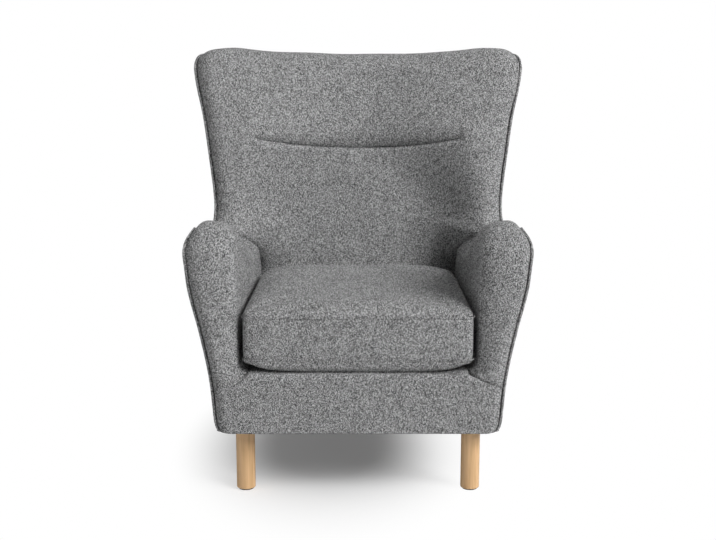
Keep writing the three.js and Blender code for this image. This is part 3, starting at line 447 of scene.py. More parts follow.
def timber(name, light, dark, roughness, look=woodLook):
    material, shader = principled(name, light, roughness)
    tree = material.node_tree
    coords = tree.nodes.new("ShaderNodeTexCoord").outputs["Object"]
    rings = noiseNode(tree, stretched(tree, coords, look["grain"]), *look["rings"])["Fac"]
    pores = noiseNode(tree, stretched(tree, coords, look["poreGrain"]), *look["pores"])["Fac"]
    both = mathNode(tree, "MULTIPLY", rings, look["ringShare"])
    both = mathNode(tree, "MULTIPLY_ADD", pores, look["poreShare"], both)
    color = rampNode(tree, both, look["stops"], [dark, light])
    tree.links.new(color, shader.inputs["Base Color"])
    relief(tree, pores, look, shader)
    return material


# Light and dark growth, and roughness
timberLook = {
    "oak": ((0.80, 0.52, 0.28), (0.62, 0.38, 0.18), 0.42),
    "beech": ((0.58, 0.40, 0.24), (0.46, 0.30, 0.17), 0.7),
}
oak, beech = (timber(name, *timberLook[name]) for name in ("oak", "beech"))
# The plainer slots: colour, roughness and metallic
plainLook = {
    "padding": ((0.75, 0.71, 0.6), 0.95, 0),
    "spring_steel": ((0.16, 0.17, 0.18), 0.4, 0.9),
    "plated_steel": ((0.6, 0.61, 0.63), 0.35, 0.95),
    "jute": ((0.33, 0.25, 0.14), 0.95, 0),
    "lining": ((0.018, 0.018, 0.02), 0.95, 0),
    "zip_nylon": ((0.09, 0.092, 0.1), 0.5, 0),
    "glide_plastic": ((0.025, 0.026, 0.028), 0.5, 0),
}
slotMaterials = {slot: principled(slot, *facts)[0] for slot, facts in plainLook.items()}
slotMaterials.update(upholstery=fabric, beech=beech, oak=oak)
for subpart in frame["record"]["subparts"]:
    node = frame["nodes"][subpart["node"]]
    node.data.materials.clear()
    node.data.materials.append(slotMaterials[subpart["material_slot"]])


def dress(piece, body, slot, *nodes, padded=None):
    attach(piece, body)
    if nodes:
        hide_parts(*nodes)


print("stage: materials")

# Arms: a padded arch runs round the arm's edge, and the inner face falls from it to the deck.
arms = {"rows": (44, 22, 60, 26), "arch": 40, "face": 30, "curl": 0.8, "curlReach": 5,
        "ripple": 0.9, "rippleSize": 170, "rippleMost": 2, "seed": 1, "foamInset": 4,
        "foam": 20, "foamStart": 6, "foamEnd": 4, "foamStep": 2}
front, shoulder, crest, tail = arms["rows"]
armLine = np.concatenate([
    armEdge(armSeamFoot, front, shoulder, crest),
    np.stack([mix(wingFront(valleyTop), armEnd, steps(tail)[1:]), np.full(tail, valleyTop)], 1),
])


def archOf(line, out, lift):
    # Axis of the padded arch in side view, its inner and outer half widths, its place across,
    # its height over the axis, and how far its inner side falls
    start = value("archStart")
    axis = line - out * value("archRise") * math.sin(start)
    lower = armLower(line[:, 0])
    drop = value("armInnerDrop") * lower
    bow = value("archRise") * (1 - value("archFade") * lower)
    inner = innerX(axis[:, 0], axis[:, 1] + lift - drop)
    width = sideX(line[:, 0], line[:, 1]) - seamInset - inner
    crown = width / (1 + math.cos(start)) * value("archSkew")
    return axis, crown, (width - crown) / math.cos(start), inner + crown, bow, drop


def armSurface():
    # Across: an arch x = crown + half width * cos(angle), then straight down the inner face
    out = outward(armLine)
    fade = ease(1 - (armLine[:, 1] - armSeamFoot) / value("armSeamFade"))
    lift = np.where(np.arange(len(armLine)) <= front, value("armSeamRise") * fade, 0)
    axis, *parts = archOf(armLine, out, lift)
    inside, outside, crownX, bow, drop, lift = (part[:, None] for part in (*parts, lift))
    t = steps(arms["arch"])[None, :]
    angle = mix(value("archStart"), math.pi, t)
    rise = bow * np.sin(angle)
    fall = drop * ease((angle - math.pi / 2) / (math.pi / 2))
    arch = points(
        crownX + np.where(angle < math.pi / 2, outside, inside) * np.cos(angle),
        axis[:, :1] + out[:, :1] * rise,
        axis[:, 1:] + out[:, 1:] * rise + lift * t - fall,
    )
    s = steps(arms["face"])[None, 1:]
    shares = lengthShares(armLine)
    footY = mix(axis[0, 0], armEnd, shares)
    y = mix(axis[:, :1], footY[:, None], s)
    z = mix(axis[:, 1:] + lift - drop, coverFoot, s)
    face = points(innerX(y, z), y, z)
    grid = np.concatenate([arch, face], 1)
    uneven = softNoise(grid, arms["rippleSize"], arms["seed"])
    swell = np.clip(arms["ripple"] * (1 + uneven) / 2, 0, arms["rippleMost"])
    grid = grid + normals(grid) * swell[..., None]
    # The lowest rows curl in to the seam of the front border.
    fromSeam = np.linalg.norm(grid - grid[:1], axis=2)
    grid[..., 1] += arms["curl"] * np.clip(1 - fromSeam / arms["curlReach"], 0, 1) ** 2
    return grid


armGrid = armSurface()
armCore = (armGrid - normals(armGrid) * arms["foamInset"])[
    arms["foamStart"]::arms["foamStep"], :-arms["foamEnd"]:arms["foamStep"]]
for side, sign in sides:
    arm = gridPiece(f"arm_{side}", sided(armGrid, sign), fabric, value("cloth"), flip=sign > 0)
    dress(arm, "chair", "upholstery", f"arm_cover_{side}", padded=0.9)
    core = gridPiece(f"arm_padding_{side}", sided(armCore, sign), slotMaterials["padding"],
                     arms["foam"], flip=sign > 0)
    dress(core, "chair", "padding", f"arm_foam_{side}", padded=0.9)

# Outside panels, drawn in a little at their edges towards the welt
panel = {"rows": (40, 16, 40, 60, 16, 12), "columns": 40, "crowding": 1.5, "draw": 1.6,
         "drawReach": 14}
front, shoulder, crest, face, ear, top = panel["rows"]
shellEdge = np.concatenate([
    armEdge(value("underside"), front, shoulder, crest), wingEdge(face, ear, top)])
shellShares = lengthShares(shellEdge)
# Each point of the shell's edge has a foot on the base line or the rear edge, and one of the
# feet falls on the rear lower corner.
baseEdge = np.array([
    [frontEdge, value("underside")], [rearFoot, value("underside")],
    [rearEdge(wingTop), wingTop]])
baseShares = lengthShares(baseEdge)
corner = int(np.argmax(shellShares > baseShares[1]))
footShares = np.where(
    np.arange(len(shellEdge)) < corner,
    shellShares * baseShares[1] / shellShares[corner],
    1 - (1 - shellShares) * (1 - baseShares[1]) / (1 - shellShares[corner]))
feet = np.stack([np.interp(footShares, baseShares, baseEdge[:, k]) for k in (0, 1)], 1)
t = steps(panel["columns"])[None, :, None] ** panel["crowding"]
plan = mix(shellEdge[:, None, :], feet[:, None, :], t)
fromEdge = np.linalg.norm(plan - plan[:, :1], axis=2)
draw = panel["draw"] * np.exp(-(fromEdge / panel["drawReach"]) ** 2)
panelGrid = points(sideX(plan[..., 0], plan[..., 1]) - draw, plan[..., 0], plan[..., 1])
for side, sign in sides:
    piece = gridPiece(f"outside_{side}", sided(panelGrid, sign), fabric, value("cloth"),
                      flip=sign < 0)
    dress(piece, "chair", "upholstery", f"outside_panel_{side}")

# Welts: cloth over cord, sewn in along the whole edge, standing out except where it is level
welt = {"sides": 14}
out = outward(shellEdge)
centre = shellEdge + out * value("weltOut") * (1 - np.maximum(out[:, 1:], 0) ** 2)
around = turns(welt["sides"])[None, :]
reach = value("weltShow") * np.cos(around)
across = value("weltShow") * np.sin(around)
weltGrid = points(
    (sideX(shellEdge[:, 0], shellEdge[:, 1]) - value("cloth") / 2)[:, None] + across,
    centre[:, :1] + out[:, :1] * reach,
    centre[:, 1:] + out[:, 1:] * reach)
for side, sign in sides:
    piece = gridPiece(f"piping_{side}", sided(weltGrid, sign), fabric, flip=sign < 0,
                      closedRound=True)
    dress(piece, "chair", "upholstery", f"welt_{side}")
print("stage: arms, outside panels and welts")

# Inside back with its wings: each row runs from the middle through the wing's crest to its welt.
back = {
    "lowRows": 96, "tuckRows": 46, "headRows": 60, "earRows": 22, "rearRows": 14,
    "hollow": 64, "roll": 14, "tuckBand": 15, "tuckDepth": 16, "tuckSoft": 3.2,
    "tuckFade": 20, "tuckSpread": 62, "tuckLevel": 0.8, "overhang": 3, "overhangStart": 30,
    "bulge": 15, "bulgeHeight": 70, "bulgeFade": 190, "bulgeShift": 0.8,
    "creviceDepth": 6, "creviceReach": 9, "ripple": 1.4, "rippleSize": 230, "seed": 2,
    "foamInset": 17, "foam": 24, "foamStep": 3,
}


def backLine(z):
    return backDepth + value("backRake") * np.maximum(
        0, z - value("underside") - value("backRakeStart"))


def edgeLine(z):
    # Depth of the seam at the wing's edge; below the valley it sinks in behind the arm.
    low = mix(wingFront(valleyTop), backLine(z) + value("wingRoll"),
              ease((valleyTop - z) / value("wingSink")))
    return np.where(z < valleyTop, low, wingFront(z))


def backRows():
    # Centre, crest and edge of each row as depth and height, and how far it is rolled over
    band = back["tuckBand"]
    z = np.concatenate([
        np.linspace(coverFoot, tuckMiddle - band, back["lowRows"], endpoint=False),
        np.linspace(tuckMiddle - band, tuckMiddle + band, back["tuckRows"], endpoint=False),
        np.linspace(tuckMiddle + band, earStart, back["headRows"]),
    ])
    edge = np.stack([edgeLine(z), z], 1)
    centre = np.stack([backLine(z), z], 1)
    crestLine = edge - np.array([value("wingRoll"), 0])
    face = (centre, crestLine, edge, np.zeros(len(z)))

    angle = steps(back["earRows"])[1:] * math.pi / 2
    up, on = np.sin(angle), 1 - np.cos(angle)
    edge = earPoint(angle)
    centre = np.stack([backLine(earStart) + value("topDepth") * on,
                       mix(earStart, backTop, up)], 1)
    crestLine = np.stack([edge[:, 0] - value("wingRoll"),
                          mix(earStart, wingTop + value("crownRise"), up)], 1)
    top = (centre, crestLine, edge, on)

    angle = steps(back["rearRows"])[1:] * math.pi / 2
    along, down = np.sin(angle), 1 - np.cos(angle)
    seam = backTop - value("rearSeamDrop")
    share = value("crestShare")
    crestSeam = mix(seam, wingTop, share ** 2)
    bow = value("rearBow")
    centre = np.stack([mix(top[0][-1, 0], rearEdge(seam) + bow, along),
                       mix(backTop, seam, down)], 1)
    crestLine = np.stack([
        mix(top[1][-1, 0], rearEdge(crestSeam) + bow * (1 - share ** 2), along),
        mix(top[1][-1, 1], crestSeam, down)], 1)
    edge = np.stack([mix(top[2][-1, 0], rearEdge(wingTop), along),
                     np.full(len(angle), wingTop)], 1)
    rear = (centre, crestLine, edge, np.ones(len(angle)))
    return [np.concatenate(parts) for parts in zip(face, top, rear)]


def backSurface(tucked=True):
    # Across a row the depth goes from the hollow to the crest by t^p (1 + p - p t), which is
    # flat at both ends, with a power p that softens from the valley up.
    centre, crestLine, edge, rolled = backRows()
    soft = ease((centre[:, 1] - valleyTop) / value("hollowRise"))
    power = mix(value("hollowSharp"), value("hollowSoft"), soft)[:, None]
    edgeX = (sideX(edge[:, 0], edge[:, 1]) - seamInset)[:, None]
    crestX = edgeX * value("crestShare")
    t = steps(back["hollow"])[None, :]
    turn = t ** power * (1 + power - power * t)
    x = crestX * t
    z = mix(centre[:, 1:], crestLine[:, 1:], t ** 2)
    level = np.minimum(1, (x / value("tuckHalf")) ** 2)
    near = np.exp(-((z - tuckMiddle) / back["tuckSpread"]) ** 2)
    z = z + value("tuckRise") * level * near * (
        1 - ease((t - back["tuckLevel"]) / (1 - back["tuckLevel"])))
    # The tuck under the head roll: the cloth is drawn in below it and bulges out above it,
    # and both fade out towards the wings.
    tuck = tuckMiddle + value("tuckRise") * level
    past = np.abs(x) - value("tuckHalf")
    flat = (1 - rolled[:, None]) * tucked
    reachIn = flat * (1 - ease(past / back["tuckFade"] + 1))
    reachOn = flat * (1 - ease(past / back["bulgeFade"] + back["bulgeShift"]))
    over = np.clip((z - tuck) / back["bulgeHeight"], 0, 1)
    below = back["tuckDepth"] * np.exp(np.minimum(0, (z - tuck) / back["tuckSoft"]))
    arched = np.sqrt(1 - (1 - over) ** 2)
    fold = np.where(z < tuck, below, back["tuckDepth"] * (1 - arched)) * reachIn
    sag = np.where(z < tuck, 0, back["overhang"] * (1 - over) ** 3
                   * np.minimum(over * back["overhangStart"], 1))
    y = mix(centre[:, :1], crestLine[:, :1], turn) + (fold - back["bulge"] * arched * reachOn)
    hollow = points(x, y, z - sag * reachIn)

    angle = mix(math.pi / 2, value("archStart"), steps(back["roll"])[None, 1:])
    outShare = np.cos(angle) / math.cos(value("archStart"))
    behind = (1 - np.sin(angle)) / (1 - math.sin(value("archStart")))
    roll = points(
        mix(crestX, edgeX, outShare),
        mix(crestLine[:, :1], edge[:, :1], behind),
        mix(crestLine[:, 1:], edge[:, 1:], behind))
    half = np.concatenate([hollow, roll], 1)
    return np.concatenate([sided(half[:, :0:-1], -1), half], 1)


def armDistance(grid):
    # Distance of points from the arms' padding, in the plane across the chair at their depth
    x, y, z = np.abs(grid[..., 0]), grid[..., 1], grid[..., 2]
    lower = armLower(y)
    edgeZ = armTop - value("valleyDrop") * lower
    axisZ = edgeZ - value("archRise") * math.sin(value("archStart"))
    inner = innerX(y, z)
    width = sideX(y, edgeZ) - seamInset - inner
    half = width / (1 + math.cos(value("archStart"))) * value("archSkew")
    cosine = np.clip((x - inner - half) / half, -1, 1)
    fall = value("armInnerDrop") * lower * ease(1 - np.arccos(-cosine) * 2 / math.pi)
    top = axisZ + value("archRise") * (1 - value("archFade") * lower) * np.sqrt(
        1 - cosine ** 2) - fall
    return np.hypot(np.maximum(0, inner - x), np.maximum(0, z - top))


backGrid = rippled(backSurface(), back["ripple"], back["rippleSize"], back["seed"])
crevice = back["creviceDepth"] * np.exp(-(armDistance(backGrid) / back["creviceReach"]) ** 2)
backGrid[..., 1] += crevice
piece = gridPiece("inside_back", backGrid, fabric, value("cloth"))
dress(piece, "chair", "upholstery", "inside_back_cover", padded=0.8)
# The foam stays inside the wings' rolls and ends at the top, before the rear.
margin, step = back["roll"] + 1, back["foamStep"]
foamGrid = backSurface(tucked=False)[:-back["rearRows"]:step, margin:-margin:step]
foamGrid = foamGrid + normals(foamGrid) * back["foamInset"]
piece = gridPiece("back_padding", foamGrid, slotMaterials["padding"], back["foam"])
dress(piece, "chair", "padding", "back_foam", padded=0.8)

# Outside back, blind stitched between the rear edges of the outside panels
rearPanel = {"rows": 60, "draw": 2.0, "drawReach": 14}
seam = backSurface()[-1]
seamShares = seam[:, 0] / (rearHalf(wingTop) - seamInset)
t = steps(rearPanel["rows"])[:, None]
z = mix(seam[None, :, 2] - value("seamFit"), value("underside"), t)
x = seamShares[None, :] * (rearHalf(z) - value("cloth") - value("seamFit"))
inFromSide = rearHalf(z) - np.abs(x)
draw = rearPanel["draw"] * np.exp(-(inFromSide / rearPanel["drawReach"]) ** 2)
y = rearEdge(z) + value("rearBow") * (1 - seamShares[None, :] ** 2) - draw
piece = gridPiece("outside_back", points(x, y, z), fabric, value("cloth"), flip=True)
dress(piece, "chair", "upholstery", "outside_back_panel")
print("stage: inside and outside back")

# Front border: flat across the front, rolled back over the deck's edge between the arms
border = {"rows": 40, "rollRows": 8, "ends": 26, "middle": 60, "fade": 4, "draw": 0.8,
          "drawReach": 5, "lap": 4, "lapIn": 1.2, "ripple": 0.9, "rippleSize": 140, "seed": 3,
          "foamInset": 4, "foam": 6}


def borderSurface(lapped=True):
    # Its top edge follows the arms' arch at both ends; between them it rolls over the deck.
    line = np.array([[frontEdge, armSeamFoot], [frontEdge, armTop]])
    _, inside, outside, crownX, _, _ = archOf(line, outward(line), value("armSeamRise"))
    start = value("archStart")
    angle = mix(start, math.pi, steps(border["ends"]))
    t = (angle - start) / (math.pi - start)
    bend = np.sin(np.minimum(angle, math.pi / 2))
    x = crownX[0] + np.where(angle < math.pi / 2, outside[0], inside[0]) * np.cos(angle)
    y = value("archRise") * (1 - bend)
    top = armSeamFoot + value("armSeamRise") * t - value("seamFit")
    rolled = t ** border["fade"]
    middle = np.linspace(x[-1], -x[-1], border["middle"] + 2)[1:-1]
    same = np.ones(len(middle))
    x = np.concatenate([x, middle, -x[::-1]])
    y = np.concatenate([y, 0 * same, y[::-1]])
    top = np.concatenate([top, top[-1] * same, top[::-1]])
    rolled = np.concatenate([rolled, same, rolled[::-1]])
    roll = value("borderRoll")
    shoulderZ = top - roll
    angle = steps(border["rollRows"])[1:, None] * math.pi / 2
    low = mix(value("underside"), shoulderZ[None, :], steps(border["rows"])[:, None])
    z = np.concatenate([low, shoulderZ[None, :] + roll * np.sin(angle), top[None, :]])
    deckStart = value("cloth") + value("borderPadding") + value("fit")
    y = np.concatenate([
        np.broadcast_to(y, low.shape),
        y[None, :] + roll * (1 - np.cos(angle)) * rolled[None, :],
        mix(y, deckStart, rolled)[None, :]])
    lean = x[None, :] * sideX(frontEdge, z) / sideX(frontEdge, top)[None, :]
    grid = points(lean, y, z)
    edge = np.linalg.norm(grid - grid[-2:-1], axis=2)
    curl = border["draw"] * np.exp(-(edge / border["drawReach"]) ** 2) * (1 - rolled)[None, :]
    grid[..., 1] += curl
    if not lapped:
        return grid
    # Under the arms its edge runs on behind their covers.
    lap = grid[-1] + np.array([0, 0, border["lap"]]) * (1 - rolled)[:, None]
    grid[-1, :, 1] += border["lapIn"] * (1 - rolled)
    lap[:, 1] += value("cloth") * (1 - rolled)
    return np.concatenate([grid, lap[None]])


borderGrid = rippled(borderSurface(), border["ripple"], border["rippleSize"], border["seed"])
piece = gridPiece("front_border", borderGrid, fabric, value("cloth"), flip=True)
dress(piece, "chair", "upholstery", "front_border_cover", padded=0.7)
core = borderSurface(lapped=False)[:border["rows"] - 1]
core = core - normals(core) * border["foamInset"]
piece = gridPiece("border_padding", core, slotMaterials["padding"], border["foam"], flip=True)
dress(piece, "chair", "padding", "front_border_foam", padded=0.7)
print("stage: front border")

# Seat deck under the cushion, covered in the same cloth
deck = {"columns": 24, "rows": 30}
low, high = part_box("seat_deck_pad")
deckDepth = np.array([low.y, high.y]) / mm + centreY
y = mix(*deckDepth, steps(deck["rows"]))[:, None]
x = np.linspace(-1, 1, deck["columns"] + 1)[None, :] * (innerX(y, deckTop) - value("fit"))
piece = gridPiece("deck_cover", points(x, y, high.z / mm), fabric, (high.z - low.z) / mm)
dress(piece, "chair", "upholstery", "seat_deck_pad", padded=0.9)
print("stage: deck")

# Loose seat cushion
cushion = {
    "lowerSeam": 33, "band": 105, "crown": 26, "frontPower": 26, "rearPower": 8,
    "crownInset": 44, "bottomInset": 18, "cornerLift": 0.7, "cornerFall": 0.2, "cornerReach": 30,
    "start": 5, "rings": (10, 16, 18), "around": 260, "voxel": 6.5, "quickVoxel": 10.4,
    "sideClear": 3.0, "rearClear": 2.0, "seamPoints": 900, "pinch": 2.2, "pinchReach": 4.5,
    "ribPoints": 720, "ribSides": 10, "ribRadius": 1.3, "ribSink": 1.5, "ribOut": 0.8,
    "ribCorner": 6, "dogEar": 2, "foamInset": 12,
}
# Its cloth simulation: a seam holds fully up to pinReach * (pinStart - 1) away, and not at all
# from pinReach * pinStart on.
puff = {
    "quality": 5, "mass": 0.3, "tension": 60, "compression": 25, "shear": 20, "bending": 2.5,
    "pressure": 1.0, "frames": 20, "cap": 6, "pinReach": 7, "pinStart": 1.4, "pinSteps": 5,
    "restRise": 1.5,
}
cushionBottom = deckTop + value("fit")
lowerSeam = deckTop + cushion["lowerSeam"]
upperSeam = lowerSeam + cushion["band"]


def cushionRing(inward, z, count):
    # Ring round the cushion: a superellipse of high power, a rectangle with small rounded
    # corners, tighter in front, that tapers with the arms
    frontY = value("cushionFront") + inward
    rearY = value("cushionFront") + value("cushionDepth") - inward
    c, s = np.cos(turns(count)), np.sin(turns(count))
    power = mix(cushion["frontPower"], cushion["rearPower"], ease((s + 1) / 2))
    radius = (np.abs(c) ** power + np.abs(s) ** power) ** (-1 / power)
    y = (frontY + rearY) / 2 + s * radius * (rearY - frontY) / 2
    half = innerX(y, upperSeam) - value("cushionSideFit") - inward
    return points(c * radius * half, y, z)


def cornerShare(ring):
    # 1 at the ring's four corners, falling off along its sides
    low, high = ring.min(0), ring.max(0)
    toSide = np.minimum(ring[:, 0] - low[0], high[0] - ring[:, 0])
    toEnd = np.minimum(ring[:, 1] - low[1], high[1] - ring[:, 1])
    return np.exp(-np.maximum(toSide, toEnd) / cushion["cornerReach"])


def cushionRings(inset):
    # Rings from the bottom up: a quarter round, the upright sides, and the domed top. Both
    # panels fall away at the corners.
    low, band, high = cushion["rings"]
    start = cushion["start"] + inset
    bottom, top = cushionBottom + inset, upperSeam + cushion["crown"] - inset
    rings = []
    for angle in np.linspace(math.pi / 2, 0, low, endpoint=False):
        inward = cushion["bottomInset"] * (1 - math.cos(angle)) + start
        z = lowerSeam - (lowerSeam - bottom) * math.sin(angle)
        ring = cushionRing(inward, z, cushion["around"])
        ring[:, 2] += (lowerSeam - z) * cushion["cornerLift"] * cornerShare(ring)
        rings.append(ring)
    for t in steps(band):
        rings.append(cushionRing(start, mix(lowerSeam, upperSeam, t), cushion["around"]))
    for angle in steps(high)[1:] * math.pi / 2:
        inward = cushion["crownInset"] * (1 - math.cos(angle)) + start
        z = upperSeam + (top - upperSeam) * math.sin(angle)
        ring = cushionRing(inward, z, cushion["around"])
        ring[:, 2] -= (z - upperSeam) * cushion["cornerFall"] * cornerShare(ring)
        rings.append(ring)
    return np.stack(rings)


def closedPiece(name, rings, material):
    # Closed mesh through the rings, with a fan at each end
    count = len(rings[0])
    flat = rings.reshape(-1, 3)
    verts = np.concatenate([flat, [rings[0].mean(0)], [rings[-1].mean(0)]])
    around = np.arange(count)
    after = (around + 1) % count
    last = (len(rings) - 1) * count
    bottom = np.stack([np.full(count, len(flat)), after, around], 1)
    top = np.stack([np.full(count, len(flat) + 1), last + around, last + after], 1)
    faces = gridFaces(len(rings), count, True).tolist() + bottom.tolist() + top.tolist()
    mesh = bpy.data.meshes.new(name)
    mesh.from_pydata(placed(verts).tolist(), [], faces)
    mesh.polygons.foreach_set("use_smooth", np.full(len(mesh.polygons), True))
    mesh.materials.append(material)
    mesh.update()
    return added(name, mesh)


def remeshed(piece, voxel):
    remesh = piece.modifiers.new("remesh", "REMESH")
    remesh.mode = "VOXEL"
    remesh.voxel_size = voxel * mm
    graph = bpy.context.evaluated_depsgraph_get()
    mesh = bpy.data.meshes.new_from_object(piece.evaluated_get(graph), depsgraph=graph)
    piece.modifiers.clear()
    old = piece.data
    piece.data = mesh
    bpy.data.meshes.remove(old)


def vertexVectors(mesh, what):
    # The places ("co") or the normals ("normal") of all vertices
    flat = np.empty(len(mesh.vertices) * 3, np.float32)
    mesh.vertices.foreach_get(what, flat)
    return flat.reshape(-1, 3).astype(float)


def setCoordinates(mesh, verts):
    mesh.vertices.foreach_set("co", verts.astype(np.float32).ravel())
    mesh.update()


def farFrom(verts, line, block=2000):
    # Distance in metres of each point from the nearest of a line's points, a block of points
    # at a time: the root of a^2 + b^2 - 2 a b
    lineSquares = (line ** 2).sum(1)
    nearest = [(lineSquares - 2 * part @ line.T).min(1)
               for part in np.array_split(verts, len(verts) // block + 1)]
    return np.sqrt(np.maximum((verts ** 2).sum(1) + np.concatenate(nearest), 0))


def seamLine(z):
    return placed(cushionRing(cushion["start"], z, cushion["seamPoints"]))


def pinned(verts):
    # How firmly each point is held: 1 along both seams and on the deck, 0 in the panels
    reach = puff["pinReach"] * mm
    holds = [np.clip(puff["pinStart"] - farFrom(verts, seamLine(z)) / reach, 0, 1)
             for z in (upperSeam, lowerSeam)]
    onDeck = verts[:, 2] < (cushionBottom + puff["restRise"]) * mm
    return np.maximum.reduce([*holds, onDeck * 1.0])


def inflated(piece):
    # Cloth simulation: the seams are held and the panels between them puff up.
    verts = vertexVectors(piece.data, "co")
    hold = pinned(verts)
    pin = piece.vertex_groups.new(name="pin")
    for weight in steps(puff["pinSteps"])[1:]:
        chosen = np.nonzero(np.abs(hold - weight) <= 0.5 / puff["pinSteps"])[0]
        pin.add(chosen.tolist(), float(weight), "REPLACE")
    cloth = piece.modifiers.new("cloth", "CLOTH")
    settings = cloth.settings
    settings.quality = puff["quality"]
    settings.mass = puff["mass"]
    settings.tension_stiffness = puff["tension"]
    settings.compression_stiffness = puff["compression"]
    settings.shear_stiffness = puff["shear"]
    settings.bending_stiffness = puff["bending"]
    settings.use_pressure = True
    settings.uniform_pressure_force = puff["pressure"]
    settings.vertex_group_mass = "pin"
    settings.effector_weights.gravity = 0
    cloth.collision_settings.use_collision = False
    cloth.point_cache.frame_start = 1
    cloth.point_cache.frame_end = puff["frames"]
    for number in range(1, puff["frames"] + 1):
        scene.frame_set(number)
    graph = bpy.context.evaluated_depsgraph_get()
    moved = vertexVectors(piece.evaluated_get(graph).data, "co")
    piece.modifiers.clear()
    scene.frame_set(1)
    # No point moves further than the cap.
    shift = moved - verts
    far = np.linalg.norm(shift, axis=1)
    scale = np.minimum(1, puff["cap"] * mm / np.maximum(far, tiny))
    setCoordinates(piece.data, verts + shift * scale[:, None])
    print("cloth moved at most", round(float(far.max()) / mm, 1), "mm")


seatCushion = closedPiece("seat_cushion", cushionRings(0), fabric)
remeshed(seatCushion, cushion["voxel"])
inflated(seatCushion)
seat = seatCushion.data
verts = vertexVectors(seat, "co")
# It rests flat on the deck and stays clear of the arms and the back.
verts[:, 2] = np.maximum(verts[:, 2], cushionBottom * mm)
widest = (innerX(verts[:, 1] / mm + centreY, verts[:, 2] / mm) - cushion["sideClear"]) * mm
verts[:, 0] = np.clip(verts[:, 0], -widest, widest)
verts[:, 1] = np.minimum(verts[:, 1], (backDepth - cushion["rearClear"] - centreY) * mm)
setCoordinates(seat, verts)
# The seams are drawn in between the panels.
for z in (upperSeam, lowerSeam):
    far = farFrom(verts, seamLine(z)) / mm
    verts -= vertexVectors(seat, "normal") * (
        cushion["pinch"] * mm * np.exp(-(far / cushion["pinchReach"]) ** 2))[:, None]
setCoordinates(seat, verts)
seat.materials.clear()
seat.materials.append(fabric)
seat.polygons.foreach_set("use_smooth", np.full(len(seat.polygons), True))
smooth = seatCushion.modifiers.new("smooth", "SUBSURF")
smooth.levels = smooth.render_levels = 1
dress(seatCushion, "seat_cushion", "upholstery", "seat_cushion_cover", padded=0.95)
cushionFoam = closedPiece("seat_padding", cushionRings(cushion["foamInset"]),
                          slotMaterials["padding"])
dress(cushionFoam, "seat_cushion", "padding", "seat_cushion_foam", padded=0.95)


def seamRib(name, z):
    # The sewn edge stands up a little along the ring, and more at the corners.
    ring = cushionRing(cushion["start"], z, cushion["ribPoints"])
    ahead = np.roll(ring, -1, axis=0) - np.roll(ring, 1, axis=0)
    ahead /= np.linalg.norm(ahead, axis=1)[:, None]
    out = np.cross(ahead, [0, 0, 1])
    near = cushion["ribCorner"]
    bend = np.linalg.norm(np.roll(ahead, -near, axis=0) - np.roll(ahead, near, axis=0), axis=1)
    stand = cushion["ribOut"] + cushion["dogEar"] * np.minimum(1, bend) ** 2
    centre = ring + out * (stand - cushion["ribSink"])[:, None]
    around = turns(cushion["ribSides"])[None, :, None]
    grid = centre[:, None, :] + cushion["ribRadius"] * (
        out[:, None, :] * np.cos(around) + np.array([0, 0, 1]) * np.sin(around))
    rib = gridPiece(name, np.concatenate([grid, grid[:1]]), fabric, closedRound=True)
    dress(rib, "seat_cushion", "upholstery")


seamRib("cushion_seam_upper", upperSeam)
seamRib("cushion_seam_lower", lowerSeam)
print("stage: seat cushion")

# Legs: turned oak, with a small two-step bevel at the foot
leg = {"radius": 23.4, "axis": 0.01, "bevel": 1.8, "bevelStep": 0.3, "footRing": 3,
       "headEdge": 1, "sides": 56}
around = turns(leg["sides"])
for cornerName in ("front_left", "front_right", "rear_left", "rear_right"):
    low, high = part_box(f"leg_{cornerName}")
    x, y = (low.x + high.x) / 2 / mm, (low.y + high.y) / 2 / mm
    foot, head = low.z / mm, high.z / mm
    axis, r, b, edge = leg["axis"], leg["radius"], leg["bevel"], leg["headEdge"]
    step = b * leg["bevelStep"]
    profile = np.array([
        (axis, foot), (r - b, foot), (r - step, foot + step), (r, foot + b),
        (r, foot + b * leg["footRing"]), (r, head - edge), (r, head), (r - edge, head),
        (axis, head)])
    # Surface of revolution through the profile's radius and height pairs
    grid = points(x + profile[:, :1] * np.cos(around), y + profile[:, :1] * np.sin(around),
                  np.repeat(profile[:, 1:], leg["sides"], 1)) * mm
    piece = makeMesh(f"oak_leg_{cornerName}", grid.reshape(-1, 3),
                     gridFaces(len(profile), leg["sides"], True), oak)
    dress(piece, "chair", "oak", f"leg_{cornerName}")
print("stage: legs")

# Camera, as the photograph was taken: lens and sensor in millimetres, distance before the arm
# fronts and height in metres, pitched down by degrees
photo = {"lens": 70.0, "sensor": 36, "distance": 3.2, "height": 1.3054, "pitch": 12.867}
camera = added("camera", bpy.data.cameras.new("camera"))
camera.data.lens = photo["lens"]
camera.data.sensor_width = photo["sensor"]
camera.location = (0, -centreY * mm - photo["distance"], photo["height"])
camera.rotation_euler = (math.radians(90 - photo["pitch"]), 0, 0)
scene.camera = camera

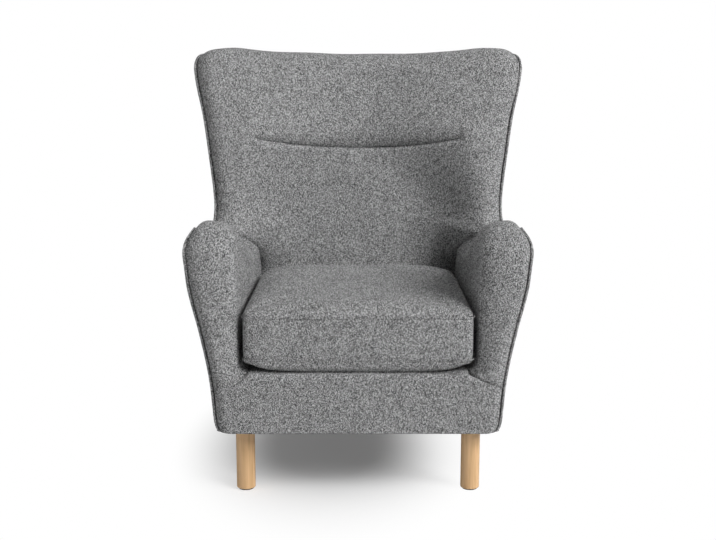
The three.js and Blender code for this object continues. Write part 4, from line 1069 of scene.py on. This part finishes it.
# Plain white studio: a pale floor that keeps the chair's shadow, and soft lamps
studio = {
    "key": {"place": (7.2, -5.5, 6.9), "size": 5.2, "power": 1075},
    "fill": {"place": (-3.4, -1.7, 0.6), "size": 1.6, "power": 10},
    "top": {"place": (0.4, -0.6, 3.8), "size": 2.2, "power": 14},
    "aim": (0, 0, 0.5), "world": 0.2, "glow": 0.12, "floor": 0.86, "floorRoughness": 0.9,
    "floorHalf": 30, "floorDrop": 0.0005, "shadowNear": 0.3, "shadowFar": 1,
    "shadowScale": (2.35, 1.4, 0), "shadowShift": (0.19, 0, 0),
}
for name in ("key", "fill", "top"):
    facts = studio[name]
    lamp = bpy.data.lights.new(name, "AREA")
    lamp.energy, lamp.size = facts["power"], facts["size"]
    holder = added(name, lamp)
    holder.location = facts["place"]
    toward = Vector(studio["aim"]) - Vector(facts["place"])
    holder.rotation_euler = toward.to_track_quat("-Z", "Y").to_euler()
    holder.visible_camera = False

world = bpy.data.worlds.new("studio")
scene.world = world
world.use_nodes = True
tree = world.node_tree
background = tree.nodes["Background"]
background.inputs["Color"].default_value = (1, 1, 1, 1)
path = addNode(tree, "LightPath", ()).outputs
# Seen directly, through something or in a reflection the backdrop is white, and as a light it
# has the studio's strength.
direct = mathNode(tree, "ADD", path["Is Camera Ray"], path["Is Glossy Ray"])
direct = mathNode(tree, "ADD", direct, path["Is Transmission Ray"])
strength = mathNode(tree, "MULTIPLY_ADD", direct, 1 - studio["world"], studio["world"])
tree.links.new(strength, background.inputs["Strength"])

floorMaterial, floorShader = principled(
    "floor", (studio["floor"],) * 3, studio["floorRoughness"])
floorShader.inputs["Specular IOR Level"].default_value = 0.0
tree = floorMaterial.node_tree
# For the camera the floor glows a little, up to plain white, and outside an ellipse round the
# chair and its shadow it is white like the backdrop.
floorPlace = tree.nodes.new("ShaderNodeTexCoord").outputs["Object"]
shifted = addNode(tree, "VectorMath", (
    floorPlace, studio["shadowScale"], studio["shadowShift"]), "MULTIPLY_ADD")
reach = addNode(tree, "VectorMath", (shifted.outputs[0],), "LENGTH")
away = addNode(tree, "MapRange", {
    "Value": reach.outputs["Value"], "From Min": studio["shadowNear"],
    "From Max": studio["shadowFar"]})
away.interpolation_type = "SMOOTHSTEP"
seen = addNode(tree, "LightPath", ()).outputs["Is Camera Ray"]
glow = addNode(tree, "Emission", {
    "Color": (1, 1, 1, 1), "Strength": mathNode(tree, "MULTIPLY", seen, studio["glow"])})
white = addNode(tree, "Emission", {"Color": (1, 1, 1, 1)})
both = addNode(tree, "AddShader", (floorShader.outputs[0], glow.outputs[0]))
share = mathNode(tree, "MULTIPLY", away.outputs["Result"], seen)
whole = addNode(tree, "MixShader", (share, both.outputs[0], white.outputs[0]))
tree.links.new(whole.outputs[0], tree.nodes["Material Output"].inputs["Surface"])
floorMesh = bpy.data.meshes.new("floor")
h = studio["floorHalf"]
floorMesh.from_pydata([(-h, -h, 0), (h, -h, 0), (h, h, 0), (-h, h, 0)], [], [[0, 1, 2, 3]])
floorMesh.materials.append(floorMaterial)
floor = added("floor", floorMesh)
floor.location.z = -studio["floorDrop"]
print("stage: camera and studio")

scene.view_settings.view_transform = "Standard"
scene.view_settings.look = "None"
